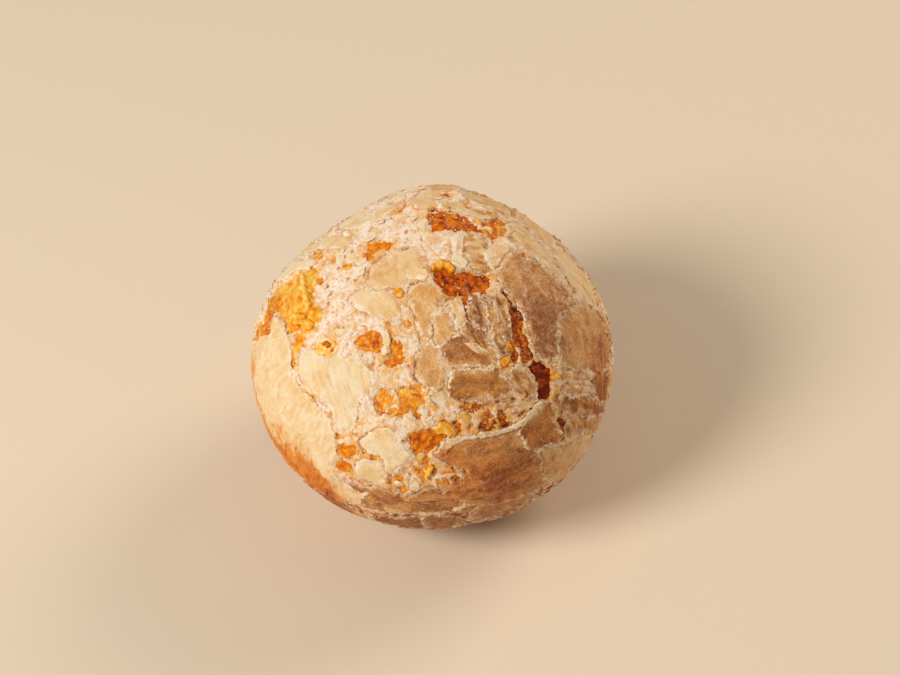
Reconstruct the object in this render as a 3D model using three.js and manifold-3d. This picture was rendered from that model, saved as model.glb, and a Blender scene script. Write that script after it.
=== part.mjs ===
// A pao de queijo: one baked ball of sour tapioca starch and cheese, solid all through.
// The dough puffs into a slightly squat ball, rests on a small flat base, and its skin
// dries and splits into plates. Between the plates there is chalky crumb, and here and
// there an open pocket where the cheese has toasted. Millimetres, +Z up, origin at the
// middle of the flat base.

import * as THREE from "three";
import { mergeVertices } from "three/addons/utils/BufferGeometryUtils.js";
import Module from "manifold-3d";

// The ball
const WIDTH = 69.2; // side to side, along X, under the plates of skin
const DEPTH = 67.6; // front to back, along Y
const SQUAT = 0.9; // height of the whole oval over its width, before the base is cut flat
const BASE_RADIUS = 11.5; // the flat spot that the ball was baked and rests on
const BASE_BLEND = 6; // the height over which the uneven crust smooths out into the base

// The crust
const PLATE_COUNT = 96; // plates of skin over the whole ball
const PLATE_JITTER = 0.42; // how far a plate strays from an even spread, in plate widths
const PLATE_RISE = 0.7; // the most that a plate of skin stands over the crumb
const POCKET_DEPTH = 0.9; // how far a cheese pocket lies under the crumb
const POCKET_SHARE = 0.22; // share of the plates that opened into a pocket
const CRACK_WIDTH = 2.2; // the valley between two plates, at the mesh's own scale
const CRACK_DEPTH = 0.55;
const FACETS = 21; // subdivisions of each edge of the icosahedron under the skin

// Where the ball is fuller or flatter than an even oval.
// Bearing turns from +X towards +Y, rise is the angle over the horizon.
const SWELLS = [
  { bearing: 80, rise: 52, reach: 26, height: 1.1 }, // the crown, which leans back
  { bearing: 128, rise: 34, reach: 24, height: -1.7 }, // the slumped shoulder behind it
  { bearing: 42, rise: 30, reach: 26, height: -0.9 },
  { bearing: 175, rise: 2, reach: 26, height: 0.5 },
  { bearing: -48, rise: -22, reach: 30, height: 0.8 }, // the low front cheek
  { bearing: -130, rise: -20, reach: 30, height: 0.6 },
  { bearing: -95, rise: 30, reach: 30, height: 0.5 }, // the brow
  { bearing: -20, rise: 42, reach: 20, height: 0.4 },
  { bearing: 250, rise: 75, reach: 24, height: -0.5 },
  { bearing: 15, rise: -40, reach: 24, height: -0.6 },
];

const HALF_WIDTH = WIDTH / 2;
const HALF_DEPTH = DEPTH / 2;
const HALF_HEIGHT = SQUAT * HALF_WIDTH;
// The base is the section of the oval at the height where it is BASE_RADIUS wide.
const CENTRE_HEIGHT = HALF_HEIGHT * Math.sqrt(1 - (BASE_RADIUS / HALF_WIDTH) ** 2);

function direction(bearing, rise) {
  const b = THREE.MathUtils.degToRad(bearing);
  const r = THREE.MathUtils.degToRad(rise);
  return new THREE.Vector3(Math.cos(b) * Math.cos(r), Math.sin(b) * Math.cos(r), Math.sin(r));
}

// A repeatable number from 0 to 1 for each whole number and kind of draw.
function chance(index, kind) {
  const s = Math.sin(index * 127.1 + kind * 311.7) * 43758.5453;
  return s - Math.floor(s);
}

// The plates' middles: an even spiral over the sphere, each nudged off its place.
const PLATES = Array.from({ length: PLATE_COUNT }, (_, i) => {
  const spacing = Math.sqrt((4 * Math.PI) / PLATE_COUNT);
  const z = 1 - (2 * i + 1) / PLATE_COUNT;
  const turn = i * Math.PI * (3 - Math.sqrt(5));
  const middle = new THREE.Vector3(
    Math.sqrt(1 - z * z) * Math.cos(turn),
    Math.sqrt(1 - z * z) * Math.sin(turn),
    z,
  );
  const nudge = new THREE.Vector3(chance(i, 1) - 0.5, chance(i, 2) - 0.5, chance(i, 3) - 0.5);
  middle.addScaledVector(nudge, 2 * PLATE_JITTER * spacing).normalize();
  const isPocket = chance(i, 4) < POCKET_SHARE;
  return { middle, level: isPocket ? -POCKET_DEPTH : PLATE_RISE * chance(i, 5) };
});

// The even oval's radius along a unit direction from its middle.
function ovalRadius(way) {
  return 1 / Math.hypot(way.x / HALF_WIDTH, way.y / HALF_DEPTH, way.z / HALF_HEIGHT);
}

// How far the baked form stands over the oval there: the sum of the swells.
function swellHeight(way) {
  return SWELLS.reduce((sum, { bearing, rise, reach, height }) => {
    const angle = THREE.MathUtils.radToDeg(way.angleTo(direction(bearing, rise)));
    return sum + height * Math.exp(-((angle / reach) ** 2));
  }, 0);
}

// The crust's relief: the nearest plate's level, sinking into a crack halfway to the next.
function crustRelief(way) {
  const [nearest, next] = PLATES.map((plate) => ({
    away: HALF_WIDTH * way.angleTo(plate.middle),
    level: plate.level,
  })).sort((a, b) => a.away - b.away);
  const inside = THREE.MathUtils.smoothstep(next.away - nearest.away, 0, CRACK_WIDTH);
  const edge = (nearest.level + next.level) / 2 - CRACK_DEPTH;
  return THREE.MathUtils.lerp(edge, nearest.level, inside);
}

// The whole ball as one closed skin round its middle, before the base is cut.
function ballGeometry() {
  const geometry = new THREE.IcosahedronGeometry(1, FACETS);
  geometry.deleteAttribute("normal");
  geometry.deleteAttribute("uv");
  const skin = mergeVertices(geometry, 1e-5);
  const places = skin.getAttribute("position");
  const way = new THREE.Vector3();
  for (let i = 0; i < places.count; i++) {
    way.fromBufferAttribute(places, i).normalize();
    const oval = ovalRadius(way);
    const overBase = THREE.MathUtils.smoothstep(CENTRE_HEIGHT + oval * way.z, 0, BASE_BLEND);
    way.multiplyScalar(oval + overBase * (swellHeight(way) + crustRelief(way)));
    places.setXYZ(i, way.x, way.y, way.z);
  }
  return skin.translate(0, 0, CENTRE_HEIGHT);
}

const wasm = await Module();
wasm.setup();

function solidFrom(geometry) {
  const closed = geometry.clone();
  closed.deleteAttribute("normal");
  closed.deleteAttribute("uv");
  const merged = mergeVertices(closed, 1e-5);
  return new wasm.Manifold(
    new wasm.Mesh({
      numProp: 3,
      vertProperties: merged.getAttribute("position").array,
      triVerts: new Uint32Array(merged.index.array),
    }),
  );
}

function geometryFrom(solid) {
  const mesh = solid.getMesh();
  return new THREE.BufferGeometry()
    .setAttribute("position", new THREE.BufferAttribute(mesh.vertProperties, 3))
    .setIndex(new THREE.BufferAttribute(mesh.triVerts, 1));
}

// The base is cut flat by the baking tray, a block whose top face lies at height 0.
function cutFlat(geometry) {
  const tray = new THREE.BoxGeometry(2 * WIDTH, 2 * DEPTH, WIDTH).translate(0, 0, -WIDTH / 2);
  return geometryFrom(solidFrom(geometry).subtract(solidFrom(tray)));
}

// The relief makes the ball a little lopsided, so its box is centred over the origin.
function centredOverBase(geometry) {
  geometry.computeBoundingBox();
  const middle = geometry.boundingBox.getCenter(new THREE.Vector3());
  return geometry.translate(-middle.x, -middle.y, 0);
}

const ball = new THREE.Mesh(
  centredOverBase(cutFlat(ballGeometry())),
  new THREE.MeshStandardMaterial({ color: 0xe3bd86, roughness: 0.75, metalness: 0 }),
);
ball.name = "cheese_ball";

const paoDeQueijo = new THREE.Group();
paoDeQueijo.add(ball);

export default paoDeQueijo;
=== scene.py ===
import math

import bpy
import numpy as np
from mathutils import Matrix
from mathutils.geometry import delaunay_2d_cdt


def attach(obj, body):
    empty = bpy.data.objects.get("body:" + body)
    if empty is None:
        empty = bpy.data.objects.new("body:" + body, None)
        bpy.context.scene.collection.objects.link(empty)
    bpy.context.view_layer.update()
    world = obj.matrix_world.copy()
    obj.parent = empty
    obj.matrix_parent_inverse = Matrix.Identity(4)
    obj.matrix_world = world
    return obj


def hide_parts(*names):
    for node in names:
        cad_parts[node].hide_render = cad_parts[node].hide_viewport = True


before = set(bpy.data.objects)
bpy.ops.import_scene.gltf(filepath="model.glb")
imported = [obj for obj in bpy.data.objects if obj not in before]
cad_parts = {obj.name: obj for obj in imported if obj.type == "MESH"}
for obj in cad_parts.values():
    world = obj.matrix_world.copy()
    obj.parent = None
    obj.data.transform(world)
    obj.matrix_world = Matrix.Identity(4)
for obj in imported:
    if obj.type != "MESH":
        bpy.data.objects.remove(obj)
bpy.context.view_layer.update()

# ---------------------------------------------------------------------------------------------
# The camera and the ball's place in its picture. It looks down on the ball from the front and
# is rolled a little, so that the ball leans to the left. Everything is in millimetres until it
# goes into Blender, but for the lens, the floor and the lamps.
MM = 0.001
PICTURE = np.array([900, 675])  # pixels
LENS = 100  # the focal length
SENSOR = 36  # the width of the film behind it
FAR_CLIP = 20  # metres
PIXELS_FOCAL = PICTURE[0] * LENS / SENSOR
CAMERA_RISE = math.radians(47.8)
CAMERA_ROLL = math.radians(5.5)
CAMERA_AWAY = 486  # from the ball's middle, along the line of sight
BALL_PIXEL = np.array([433, 357])  # where the ball's middle lies in the picture

# The ball's even oval, before it swells and cracks. The CAD part is built on the same one.
HALF_WIDTH = 69.2 / 2
HALF_DEPTH = 67.6 / 2
SQUAT = 0.9  # its height over its width
HALF_HEIGHT = SQUAT * HALF_WIDTH
BASE_RADIUS = 11.5  # the flat spot that it rests on, which cuts the oval off below
BALL_MIDDLE = np.array([0, 0, HALF_HEIGHT * math.sqrt(1 - (BASE_RADIUS / HALF_WIDTH) ** 2)])

ahead = np.array([0, math.cos(CAMERA_RISE), -math.sin(CAMERA_RISE)])
level_right = np.array([1, 0, 0])
level_up = np.cross(level_right, ahead)
right = level_right * math.cos(CAMERA_ROLL) - level_up * math.sin(CAMERA_ROLL)
up = level_up * math.cos(CAMERA_ROLL) + level_right * math.sin(CAMERA_ROLL)
aside = (BALL_PIXEL - PICTURE / 2) * CAMERA_AWAY / PIXELS_FOCAL
camera_place = BALL_MIDDLE - ahead * CAMERA_AWAY - right * aside[0] + up * aside[1]

camera = bpy.data.objects.new("camera", bpy.data.cameras.new("camera"))
camera.data.lens = LENS
camera.data.sensor_width = SENSOR
camera.data.clip_end = FAR_CLIP
axes = np.stack([right, up, -ahead, camera_place * MM], axis=1)
camera.matrix_world = Matrix([*axes.tolist(), [0, 0, 0, 1]])
bpy.context.scene.collection.objects.link(camera)
bpy.context.scene.camera = camera


def sight_lines(pixels):
    """Unit directions from the camera through places in the picture, given in pixels from its
    upper left corner."""
    across, down = ((np.asarray(pixels, float) - PICTURE / 2) / PIXELS_FOCAL).T
    lines = ahead + across[:, None] * right - down[:, None] * up
    return lines / np.linalg.norm(lines, axis=1, keepdims=True)


def picture_places(points):
    """Pixels at which the camera sees points: their place across and down over their distance."""
    seen = points - camera_place
    scale = PIXELS_FOCAL / (seen @ ahead)
    return PICTURE / 2 + np.stack([seen @ right * scale, -(seen @ up) * scale], axis=1)


# ---------------------------------------------------------------------------------------------
# The floor and the light. A pale matt floor runs on past every edge of the view, one broad warm
# lamp stands high to the left, a softer one behind on the right, and the rest is even light from
# all round.
FLOOR_HALF = 3.0  # metres, as are the lamps' distances and widths
LAMP = dict(way=(-0.66, -0.36, 0.66), away=0.9, size=0.34, power=6.35, colour=(1.0, 0.93, 0.84))
FILL = dict(way=(0.75, 0.45, 0.6), away=0.9, size=0.5, power=3.6, colour=(1.0, 0.86, 0.7))
ROOM_COLOUR = (1.0, 0.87, 0.72)
ROOM_STRENGTH = 0.28

scene = bpy.context.scene
scene.view_settings.view_transform = "Standard"


def linear(red, green, blue):
    """A colour given as 0 to 255 on a screen, as the light it stands for."""
    screen = np.array([red, green, blue]) / 255
    light = np.where(screen <= 0.04045, screen / 12.92, ((screen + 0.055) / 1.055) ** 2.4)
    return (*light.tolist(), 1.0)


def put(tree, kind, inputs=None, **settings):
    """Adds a node. Each input is a number, a colour, or the output that is joined to it."""
    node = tree.nodes.new("ShaderNode" + kind)
    for name, value in settings.items():
        setattr(node, name, value)
    for key, value in (inputs or {}).items():
        socket = node.inputs[key]
        if isinstance(value, bpy.types.NodeSocket):
            tree.links.new(value, socket)
        else:
            socket.default_value = value
    return node


def new_material(name):
    """An empty material with its output, ready for nodes."""
    material = bpy.data.materials.new(name)
    material.use_nodes = True
    material.node_tree.nodes.clear()
    return material, material.node_tree


def finish_material(tree, shader):
    """Joins the shader to the material's surface."""
    put(tree, "OutputMaterial", {"Surface": shader.outputs["BSDF"]})


FLOOR_PAINT = linear(228, 214, 196)
floor_material, tree = new_material("floor paint")
paint = put(tree, "BsdfPrincipled", {"Base Color": FLOOR_PAINT, "Roughness": 0.85})
finish_material(tree, paint)

floor_mesh = bpy.data.meshes.new("floor")
corners = [(x * FLOOR_HALF, y * FLOOR_HALF, 0) for x, y in ((-1, -1), (1, -1), (1, 1), (-1, 1))]
floor_mesh.from_pydata(corners, [], [(0, 1, 2, 3)])
floor_mesh.materials.append(floor_material)
floor = bpy.data.objects.new("floor", floor_mesh)
scene.collection.objects.link(floor)


def hang_lamp(name, way, away, size, power, colour):
    """A round lamp of that width, that far from the ball's middle along a way, facing it."""
    lamp = bpy.data.objects.new(name, bpy.data.lights.new(name, "AREA"))
    lamp.data.shape = "DISK"
    lamp.data.size = size
    lamp.data.energy = power
    lamp.data.color = colour
    back = np.array(way) / np.linalg.norm(way)
    side = np.cross([0, 0, 1], back)
    side = side / np.linalg.norm(side)
    axes = np.stack([side, np.cross(back, side), back, BALL_MIDDLE * MM + back * away], axis=1)
    lamp.matrix_world = Matrix([*axes.tolist(), [0, 0, 0, 1]])
    scene.collection.objects.link(lamp)


hang_lamp("lamp", **LAMP)
hang_lamp("fill", **FILL)

room = bpy.data.worlds.new("room")
room.use_nodes = True
room.node_tree.nodes["Background"].inputs["Color"].default_value = (*ROOM_COLOUR, 1)
room.node_tree.nodes["Background"].inputs["Strength"].default_value = ROOM_STRENGTH
scene.world = room

# ---------------------------------------------------------------------------------------------
# The baked form. The dough rises into a squat oval that is fuller in some places than others,
# and it stands on a small flat base. A place on it is given by its way from the middle.
BASE_BLEND = 6  # the height over which the uneven skin smooths out into the base
SKIN_HEIGHT = 0.6  # how far the skin stands over the baked form, as the camera sees it
SIGHT_ROUNDS = 5  # how often a sight line is met with the ball
SWELLS = [  # bearing from +X towards +Y, rise over the horizon, reach in degrees, height
    (80, 52, 26, 1.1),
    (128, 34, 24, -1.7),
    (42, 30, 26, -0.9),
    (175, 2, 26, 0.5),
    (-48, -22, 30, 0.8),
    (-130, -20, 30, 0.6),
    (-95, 30, 30, 0.5),
    (-20, 42, 20, 0.4),
    (250, 75, 24, -0.5),
    (15, -40, 24, -0.6),
]


def smoothstep(value, low, high):
    """0 under low, 1 over high, and an even S between them."""
    share = np.clip((value - low) / (high - low), 0, 1)
    return share * share * (3 - 2 * share)


def unit(vectors):
    """Vectors over their own lengths."""
    return vectors / np.linalg.norm(vectors, axis=-1, keepdims=True)


def oval_radius(ways):
    """The even oval's radius along unit ways: 1 over the length of the way divided by its axes."""
    return 1 / np.linalg.norm(ways / [HALF_WIDTH, HALF_DEPTH, HALF_HEIGHT], axis=-1)


def bells(ways, places):
    """The sum of bells on the ball. Each has its height at its own bearing and rise, and falls
    off as the exponential of minus the square of the angle from there over its reach."""
    total = 0
    for bearing, rise, reach, most in places:
        b, r = math.radians(bearing), math.radians(rise)
        towards = np.array([math.cos(b) * math.cos(r), math.sin(b) * math.cos(r), math.sin(r)])
        angle = np.degrees(np.arccos(np.clip(ways @ towards, -1, 1)))
        total = total + most * np.exp(-((angle / reach) ** 2))
    return total


def over_floor(points):
    """Points, of which those under the floor are lifted onto it."""
    points[..., 2] = np.maximum(points[..., 2], 0)
    return points


def skin_places(ways, height=0):
    """Points a height over the baked form: way times oval radius plus swells and height, which
    die away over the base, with nothing under the floor."""
    oval = oval_radius(ways)
    over_base = smoothstep(BALL_MIDDLE[2] + oval * ways[..., 2], 0, BASE_BLEND)
    radius = oval + over_base * (bells(ways, SWELLS) + height)
    return over_floor(ways * radius[..., None] + BALL_MIDDLE)


def ways_seen_at(pixels, height=SKIN_HEIGHT):
    """Ways to where the camera sees the skin: the sight line meets the oval, which is scaled to
    the skin's radius there, and again from the way so found. A line that passes the ball meets
    it where it comes nearest."""
    lines = sight_lines(pixels)
    axes = np.array([HALF_WIDTH, HALF_DEPTH, HALF_HEIGHT])
    start = (camera_place - BALL_MIDDLE) / axes
    turned = lines / axes
    scale = np.ones(len(lines))
    for _ in range(SIGHT_ROUNDS):
        a = np.sum(turned * turned, axis=1)
        b = turned @ start
        c = start @ start - scale**2
        length = (-b - np.sqrt(np.maximum(b * b - a * c, 0))) / a
        ways = unit(camera_place - BALL_MIDDLE + lines * length[:, None])
        scale = 1 + (bells(ways, SWELLS) + height) / oval_radius(ways)
    return ways


# ---------------------------------------------------------------------------------------------
# The pattern of the split skin. The drying skin pulls apart into plates, and between some of
# them lie pockets where cheese has melted and toasted. The ones on the show side each have
# their own outline, and those round the rest of the ball are cells of an even spread of middles.
# Outlines are in pixels of the picture. Of a plate, brown goes from 0, cream, to 1, tan. rise is
# how far it stands up, and lip how much of a curl its rim has, where brown doesn't say it. wrinkle
# is how deep its wrinkles are, which run along the picture direction streak. dusty is how much
# flour lies on it. settle is how much of its rim runs in under the crumb.
PLATES = [
    # the band down the left cheek, which is golden along the lower left edge, partly with painted warm
    # reflected light and shade, and under the chin
    dict(brown=0.15, rise=0.6, wrinkle=1.1, streak=(0.4, 0.94), settle=0.3, outline=[
        (250, 344), (261, 336), (266, 328), (271, 319), (275, 317), (281, 322), (284, 333), (288, 344),
        (288, 358), (289, 371), (294, 384), (306, 397), (320, 409), (328, 420), (332, 436), (335, 452),
        (336, 462), (332, 472), (340, 482), (352, 490), (366, 496), (358, 504), (340, 503), (318, 492),
        (296, 475), (277, 454), (262, 428), (253, 396), (249, 366)]),
    dict(brown=0.76, rise=0.2, wrinkle=0.6, streak=(1, 0.2), dusty=0.4, settle=0.7, outline=[
        (345, 484), (360, 489), (376, 489), (392, 490), (404, 498), (420, 493), (436, 491), (450, 496),
        (466, 504), (452, 513), (430, 516), (405, 515), (380, 512), (360, 504)]),
    # the smooth cream cheek
    dict(brown=0.08, rise=0.35, streak=(0.4, 1), wrinkle=1.1, settle=0.6, dusty=0.4, outline=[
        (299, 354), (310, 350), (325, 356), (340, 355), (352, 356), (362, 363), (369, 374), (372, 388),
        (366, 396), (357, 402), (356, 414), (352, 426), (347, 434), (338, 436), (334, 424), (329, 412),
        (316, 399), (303, 388), (297, 376), (296, 364)]),
    # the big plate over the brow, left of the middle, and a flake on it
    dict(brown=0.35, rise=0.3, streak=(0.5, 0.8), wrinkle=0.45, settle=0.75, dusty=0.5, outline=[
        (371, 263), (384, 252), (395, 249), (406, 246), (417, 245), (422, 251), (425, 262), (418, 268),
        (409, 275), (406, 284), (396, 288), (384, 287), (374, 289), (365, 285), (366, 273)]),
    dict(brown=0.27, rise=0.3, streak=(0.5, 0.8), wrinkle=0.45, settle=0.9, dusty=0.5, outline=[
        (346, 298), (354, 290), (364, 286), (376, 289), (387, 288), (393, 294), (400, 304), (403, 312),
        (397, 318), (386, 320), (374, 318), (362, 312), (352, 306)]),
    dict(brown=0.36, rise=0.5, streak=(1, 0.3), wrinkle=0.2, settle=0.7, outline=[
        (405, 267), (412, 263), (421, 266), (430, 273), (424, 277), (413, 278), (405, 274)]),
    # the middle of the face
    dict(brown=0.52, rise=0.7, streak=(0.3, 1), wrinkle=0.25, outline=[
        (409, 284), (420, 280), (431, 281), (439, 287), (442, 295), (440, 304), (436, 312), (431, 319),
        (431, 330), (430, 339), (425, 342), (419, 333), (415, 322), (411, 310), (407, 299), (406, 291)]),
    dict(brown=0.5, rise=0.4, streak=(0.1, 1), wrinkle=0.25, outline=[
        (433, 320), (437, 312), (441, 306), (446, 305), (450, 312), (455, 320), (456, 328), (452, 335),
        (446, 341), (440, 346), (434, 346), (432, 338)]),
    dict(brown=0.52, rise=0.55, streak=(0.1, 1), wrinkle=0.3, dusty=0.45, outline=[
        (417, 353), (421, 347), (428, 344), (435, 347), (441, 349), (441, 357), (446, 362), (450, 368),
        (450, 376), (446, 384), (440, 389), (430, 389), (420, 384), (413, 378), (414, 367)]),
    dict(brown=0.87, rise=0.6, streak=(1, 0.4), wrinkle=0.4, dusty=0.3, settle=0.2, outline=[
        (452, 338), (461, 334), (470, 339), (480, 345), (488, 352), (494, 359), (499, 366), (488, 367),
        (476, 366), (464, 367), (452, 366), (446, 361), (442, 355), (442, 347), (446, 342)]),
    dict(brown=0.86, rise=0.3, streak=(0.6, 0.8), wrinkle=1.0, dusty=0.3, settle=0.2, outline=[
        (463, 333), (468, 323), (476, 325), (484, 329), (488, 337), (491, 345), (496, 353), (500, 363),
        (488, 360), (476, 351), (466, 343)]),
    dict(brown=0.84, rise=0.6, streak=(1, 0.1), wrinkle=0.3, dusty=0.2, settle=0.0, outline=[
        (452, 369), (466, 369), (482, 369), (498, 368), (505, 375), (510, 382), (512, 390), (506, 397),
        (492, 400), (477, 400), (462, 400), (451, 399), (449, 389), (450, 378)]),
    dict(brown=0.2, rise=0.3, streak=(1, 0.1), wrinkle=0.5, outline=[
        (430, 391), (440, 390), (448, 391), (449, 399), (443, 406), (433, 404), (428, 398)]),
    # creased strips right of the middle
    dict(brown=0.82, rise=0.55, streak=(0.45, 0.9), wrinkle=2.2, dusty=0.6, settle=0.1, outline=[
        (471, 293), (478, 292), (484, 300), (488, 312), (491, 324), (487, 329), (479, 326), (472, 320),
        (469, 309), (470, 300)]),
    dict(brown=0.94, rise=0.8, streak=(0.4, 0.9), wrinkle=2.2, dusty=0.6, settle=0.0, outline=[
        (479, 293), (487, 295), (494, 305), (500, 318), (503, 332), (504, 342), (508, 354), (501, 356),
        (495, 343), (491, 328), (488, 312), (484, 301)]),
    dict(brown=0.78, rise=0.7, streak=(0.3, 0.95), wrinkle=2.2, dusty=0.6, settle=0.0, outline=[
        (489, 294), (499, 292), (508, 298), (509, 311), (511, 325), (514, 337), (508, 343), (503, 333),
        (499, 318), (495, 306)]),
    dict(brown=0.3, rise=0.35, streak=(0.5, 0.8), wrinkle=0.8, dusty=0.6, outline=[
        (445, 299), (454, 297), (462, 302), (464, 311), (463, 320), (458, 326), (454, 317), (449, 308)]),
    # the big plate high on the right, and the far right cheek
    dict(brown=0.8, rise=0.6, streak=(0.6, 0.8), wrinkle=0.25, dusty=1.0, settle=0.25, outline=[
        (500, 266), (505, 255), (513, 250), (522, 254), (534, 260), (546, 267), (556, 274), (565, 282),
        (570, 292), (570, 303), (564, 314), (560, 326), (560, 342), (561, 354), (554, 359), (547, 361),
        (539, 357), (533, 350), (533, 341), (530, 330), (526, 319), (522, 308), (516, 298), (508, 290),
        (503, 284), (499, 275)]),
    dict(brown=0.7, rise=0.3, streak=(0.2, 1), wrinkle=0.3, dusty=0.7, settle=0.85, outline=[
        (573, 304), (584, 301), (594, 306), (603, 317), (609, 330), (613, 345), (612, 360), (607, 370),
        (597, 373), (586, 371), (575, 369), (565, 365), (561, 355), (561, 341), (561, 327), (565, 315)]),
    dict(brown=0.3, rise=0.6, streak=(1, 0.2), wrinkle=0.3, dusty=0.6, outline=[
        (487, 246), (494, 240), (502, 241), (508, 247), (505, 254), (500, 259), (493, 262), (487, 258),
        (485, 252)]),
    # bands that run over the upper right edge
    dict(brown=0.36, rise=0.5, settle=0.8, streak=(0.7, 0.7), wrinkle=0.8, dusty=0.4, outline=[
        (519, 206), (530, 212), (541, 221), (551, 231), (559, 240), (556, 249), (548, 243), (538, 234),
        (527, 224), (518, 215)]),
    dict(brown=0.3, rise=0.55, settle=0.8, streak=(0.6, 0.8), wrinkle=0.7, dusty=0.6, outline=[
        (561, 242), (570, 252), (578, 263), (586, 270), (592, 282), (598, 296), (601, 306), (592, 302),
        (582, 294), (573, 283), (565, 269), (556, 256), (555, 249)]),
    dict(brown=0.32, rise=0.35, settle=0.7, streak=(0.75, 0.65), wrinkle=1.2, dusty=0.6, outline=[
        (512, 229), (523, 229), (535, 236), (547, 245), (556, 257), (565, 270), (572, 281), (570, 288),
        (562, 278), (552, 269), (541, 260), (530, 253), (518, 246), (510, 238)]),
    dict(brown=0.34, rise=0.3, settle=0.8, streak=(0.8, 0.6), wrinkle=1.2, dusty=0.6, outline=[
        (507, 219), (518, 219), (530, 227), (539, 236), (530, 235), (518, 229), (508, 226)]),
    # bands over the upper left edge
    dict(brown=0.24, rise=0.5, settle=0.8, streak=(0.85, -0.5), wrinkle=0.7, outline=[
        (294, 255), (303, 247), (313, 241), (322, 236), (333, 232), (344, 232), (354, 236), (350, 243),
        (340, 247), (328, 247), (316, 247), (305, 252)]),
    dict(brown=0.04, rise=0.6, settle=0.8, streak=(0.8, -0.6), wrinkle=0.6, outline=[
        (273, 281), (280, 273), (285, 265), (292, 257), (303, 256), (314, 260), (308, 266), (298, 269),
        (288, 274), (281, 281)]),
    dict(brown=0.1, rise=0.5, settle=0.8, streak=(0.9, -0.4), wrinkle=0.7, outline=[
        (336, 222), (343, 214), (352, 211), (361, 208), (369, 210), (374, 214), (368, 222), (358, 227),
        (346, 229), (337, 228)]),
    dict(brown=0.28, rise=0.4, settle=0.8, streak=(0.9, -0.4), wrinkle=0.9, outline=[
        (371, 213), (381, 206), (392, 200), (402, 196), (400, 204), (391, 209), (381, 216), (372, 220)]),
    # the crown
    dict(brown=0.24, rise=0.5, streak=(1, 0), wrinkle=0.4, outline=[
        (411, 199), (417, 190), (428, 187), (437, 191), (435, 200), (427, 206), (416, 206)]),
    dict(brown=0.46, rise=0.7, streak=(1, 0.1), wrinkle=0.5, outline=[
        (421, 184), (432, 181), (446, 182), (462, 187), (458, 190), (444, 189), (430, 188)]),
    dict(brown=0.32, rise=0.35, streak=(1, 0.25), wrinkle=1.3, dusty=0.5, outline=[
        (439, 199), (452, 198), (468, 203), (484, 210), (497, 215), (484, 217), (468, 213), (452, 208)]),
    dict(brown=0.36, rise=0.45, streak=(1, 0.35), wrinkle=1.3, dusty=0.4, outline=[
        (460, 191), (480, 192), (498, 200), (514, 210), (506, 214), (488, 207), (472, 200)]),
    # the torn fibres and the yellow flake under the crown
    dict(brown=0.46, rise=0.1, streak=(1, 0.12), wrinkle=2.0, dusty=0.3, outline=[
        (465, 235), (476, 233), (488, 236), (492, 244), (487, 252), (489, 262), (496, 268), (486, 272),
        (474, 269), (467, 262), (464, 250)]),
    dict(brown=0.16, rise=0.95, streak=(0.3, 1), wrinkle=0.3, outline=[
        (451, 234), (461, 231), (463, 239), (460, 249), (464, 256), (468, 259), (465, 266), (459, 268),
        (453, 261), (450, 250)]),
    # the lower left of the face
    dict(brown=0.14, rise=0.6, streak=(0.8, 0.4), wrinkle=0.4, outline=[
        (357, 441), (364, 434), (374, 430), (384, 428), (393, 432), (400, 439), (404, 448), (410, 459),
        (402, 466), (396, 473), (387, 474), (382, 466), (379, 458), (370, 455), (361, 452)]),
    dict(brown=0.2, rise=0.4, streak=(0.9, 0.3), wrinkle=0.3, outline=[
        (354, 463), (364, 460), (374, 463), (381, 468), (385, 476), (384, 484), (376, 487), (366, 484),
        (357, 478), (352, 470)]),
    # the long plate low on the right, with its rolled upper rim, and those under it
    dict(brown=0.75, rise=0.6, streak=(1, -0.5), wrinkle=0.5, dusty=0.5, settle=0.3, outline=[
        (434, 454), (440, 447), (447, 441), (458, 438), (472, 437), (486, 436), (499, 434), (510, 431),
        (518, 432), (523, 441), (530, 451), (541, 456), (543, 470), (546, 484), (532, 494), (514, 501),
        (492, 506), (470, 506), (455, 502), (446, 495), (452, 487), (464, 482), (468, 474), (458, 468),
        (446, 464), (438, 460)]),
    dict(brown=0.42, rise=1.1, streak=(1, -0.2), wrinkle=0.5, dusty=0.2, lip=1.2, settle=-0.2, outline=[
        (436, 452), (443, 445), (452, 440), (463, 437), (476, 435), (490, 433), (502, 431), (512, 427),
        (520, 422), (529, 414), (536, 406), (540, 402), (542, 404), (538, 410), (531, 418), (523, 425),
        (513, 430), (502, 434), (490, 437), (476, 439), (465, 441), (455, 445), (447, 451), (442, 458),
        (437, 457)]),
    dict(brown=0.5, rise=0.3, streak=(0.45, -1), wrinkle=0.9, dusty=0.8, settle=0.9, outline=[
        (541, 455), (553, 450), (564, 446), (575, 441), (586, 436), (596, 434), (592, 446), (583, 457),
        (574, 469), (567, 480), (556, 486), (548, 483), (543, 470)]),
    dict(brown=0.76, rise=0.8, streak=(0.3, 1), wrinkle=0.3, dusty=0.15, lip=1.5, settle=0.2, outline=[
        (545, 403), (552, 403), (556, 410), (558, 417), (556, 422), (560, 429), (564, 435), (562, 440),
        (556, 444), (548, 447), (541, 450), (534, 452), (528, 450), (524, 443), (519, 434), (524, 427),
        (531, 420), (537, 413)]),
    # the pale rim of the round pocket
    dict(brown=0.16, rise=0.7, streak=(0, 1), wrinkle=0.4, settle=0.2, outline=[
        (370, 326), (379, 325), (386, 331), (388, 340), (386, 349), (382, 354), (383, 344), (382, 335),
        (377, 330)]),
    # the small dome and the ridge under it
    dict(brown=0.62, rise=0.9, streak=(0.6, 0.8), wrinkle=1.5, dusty=0.5, settle=0.1, outline=[
        (513, 367), (520, 364), (528, 368), (534, 377), (539, 388), (537, 397), (529, 398), (519, 394),
        (512, 386), (510, 376)]),
    dict(brown=0.5, rise=0.5, streak=(1, -0.3), wrinkle=1.2, dusty=0.5, outline=[
        (498, 405), (512, 402), (526, 400), (537, 399), (532, 407), (520, 411), (506, 411)]),
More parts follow.
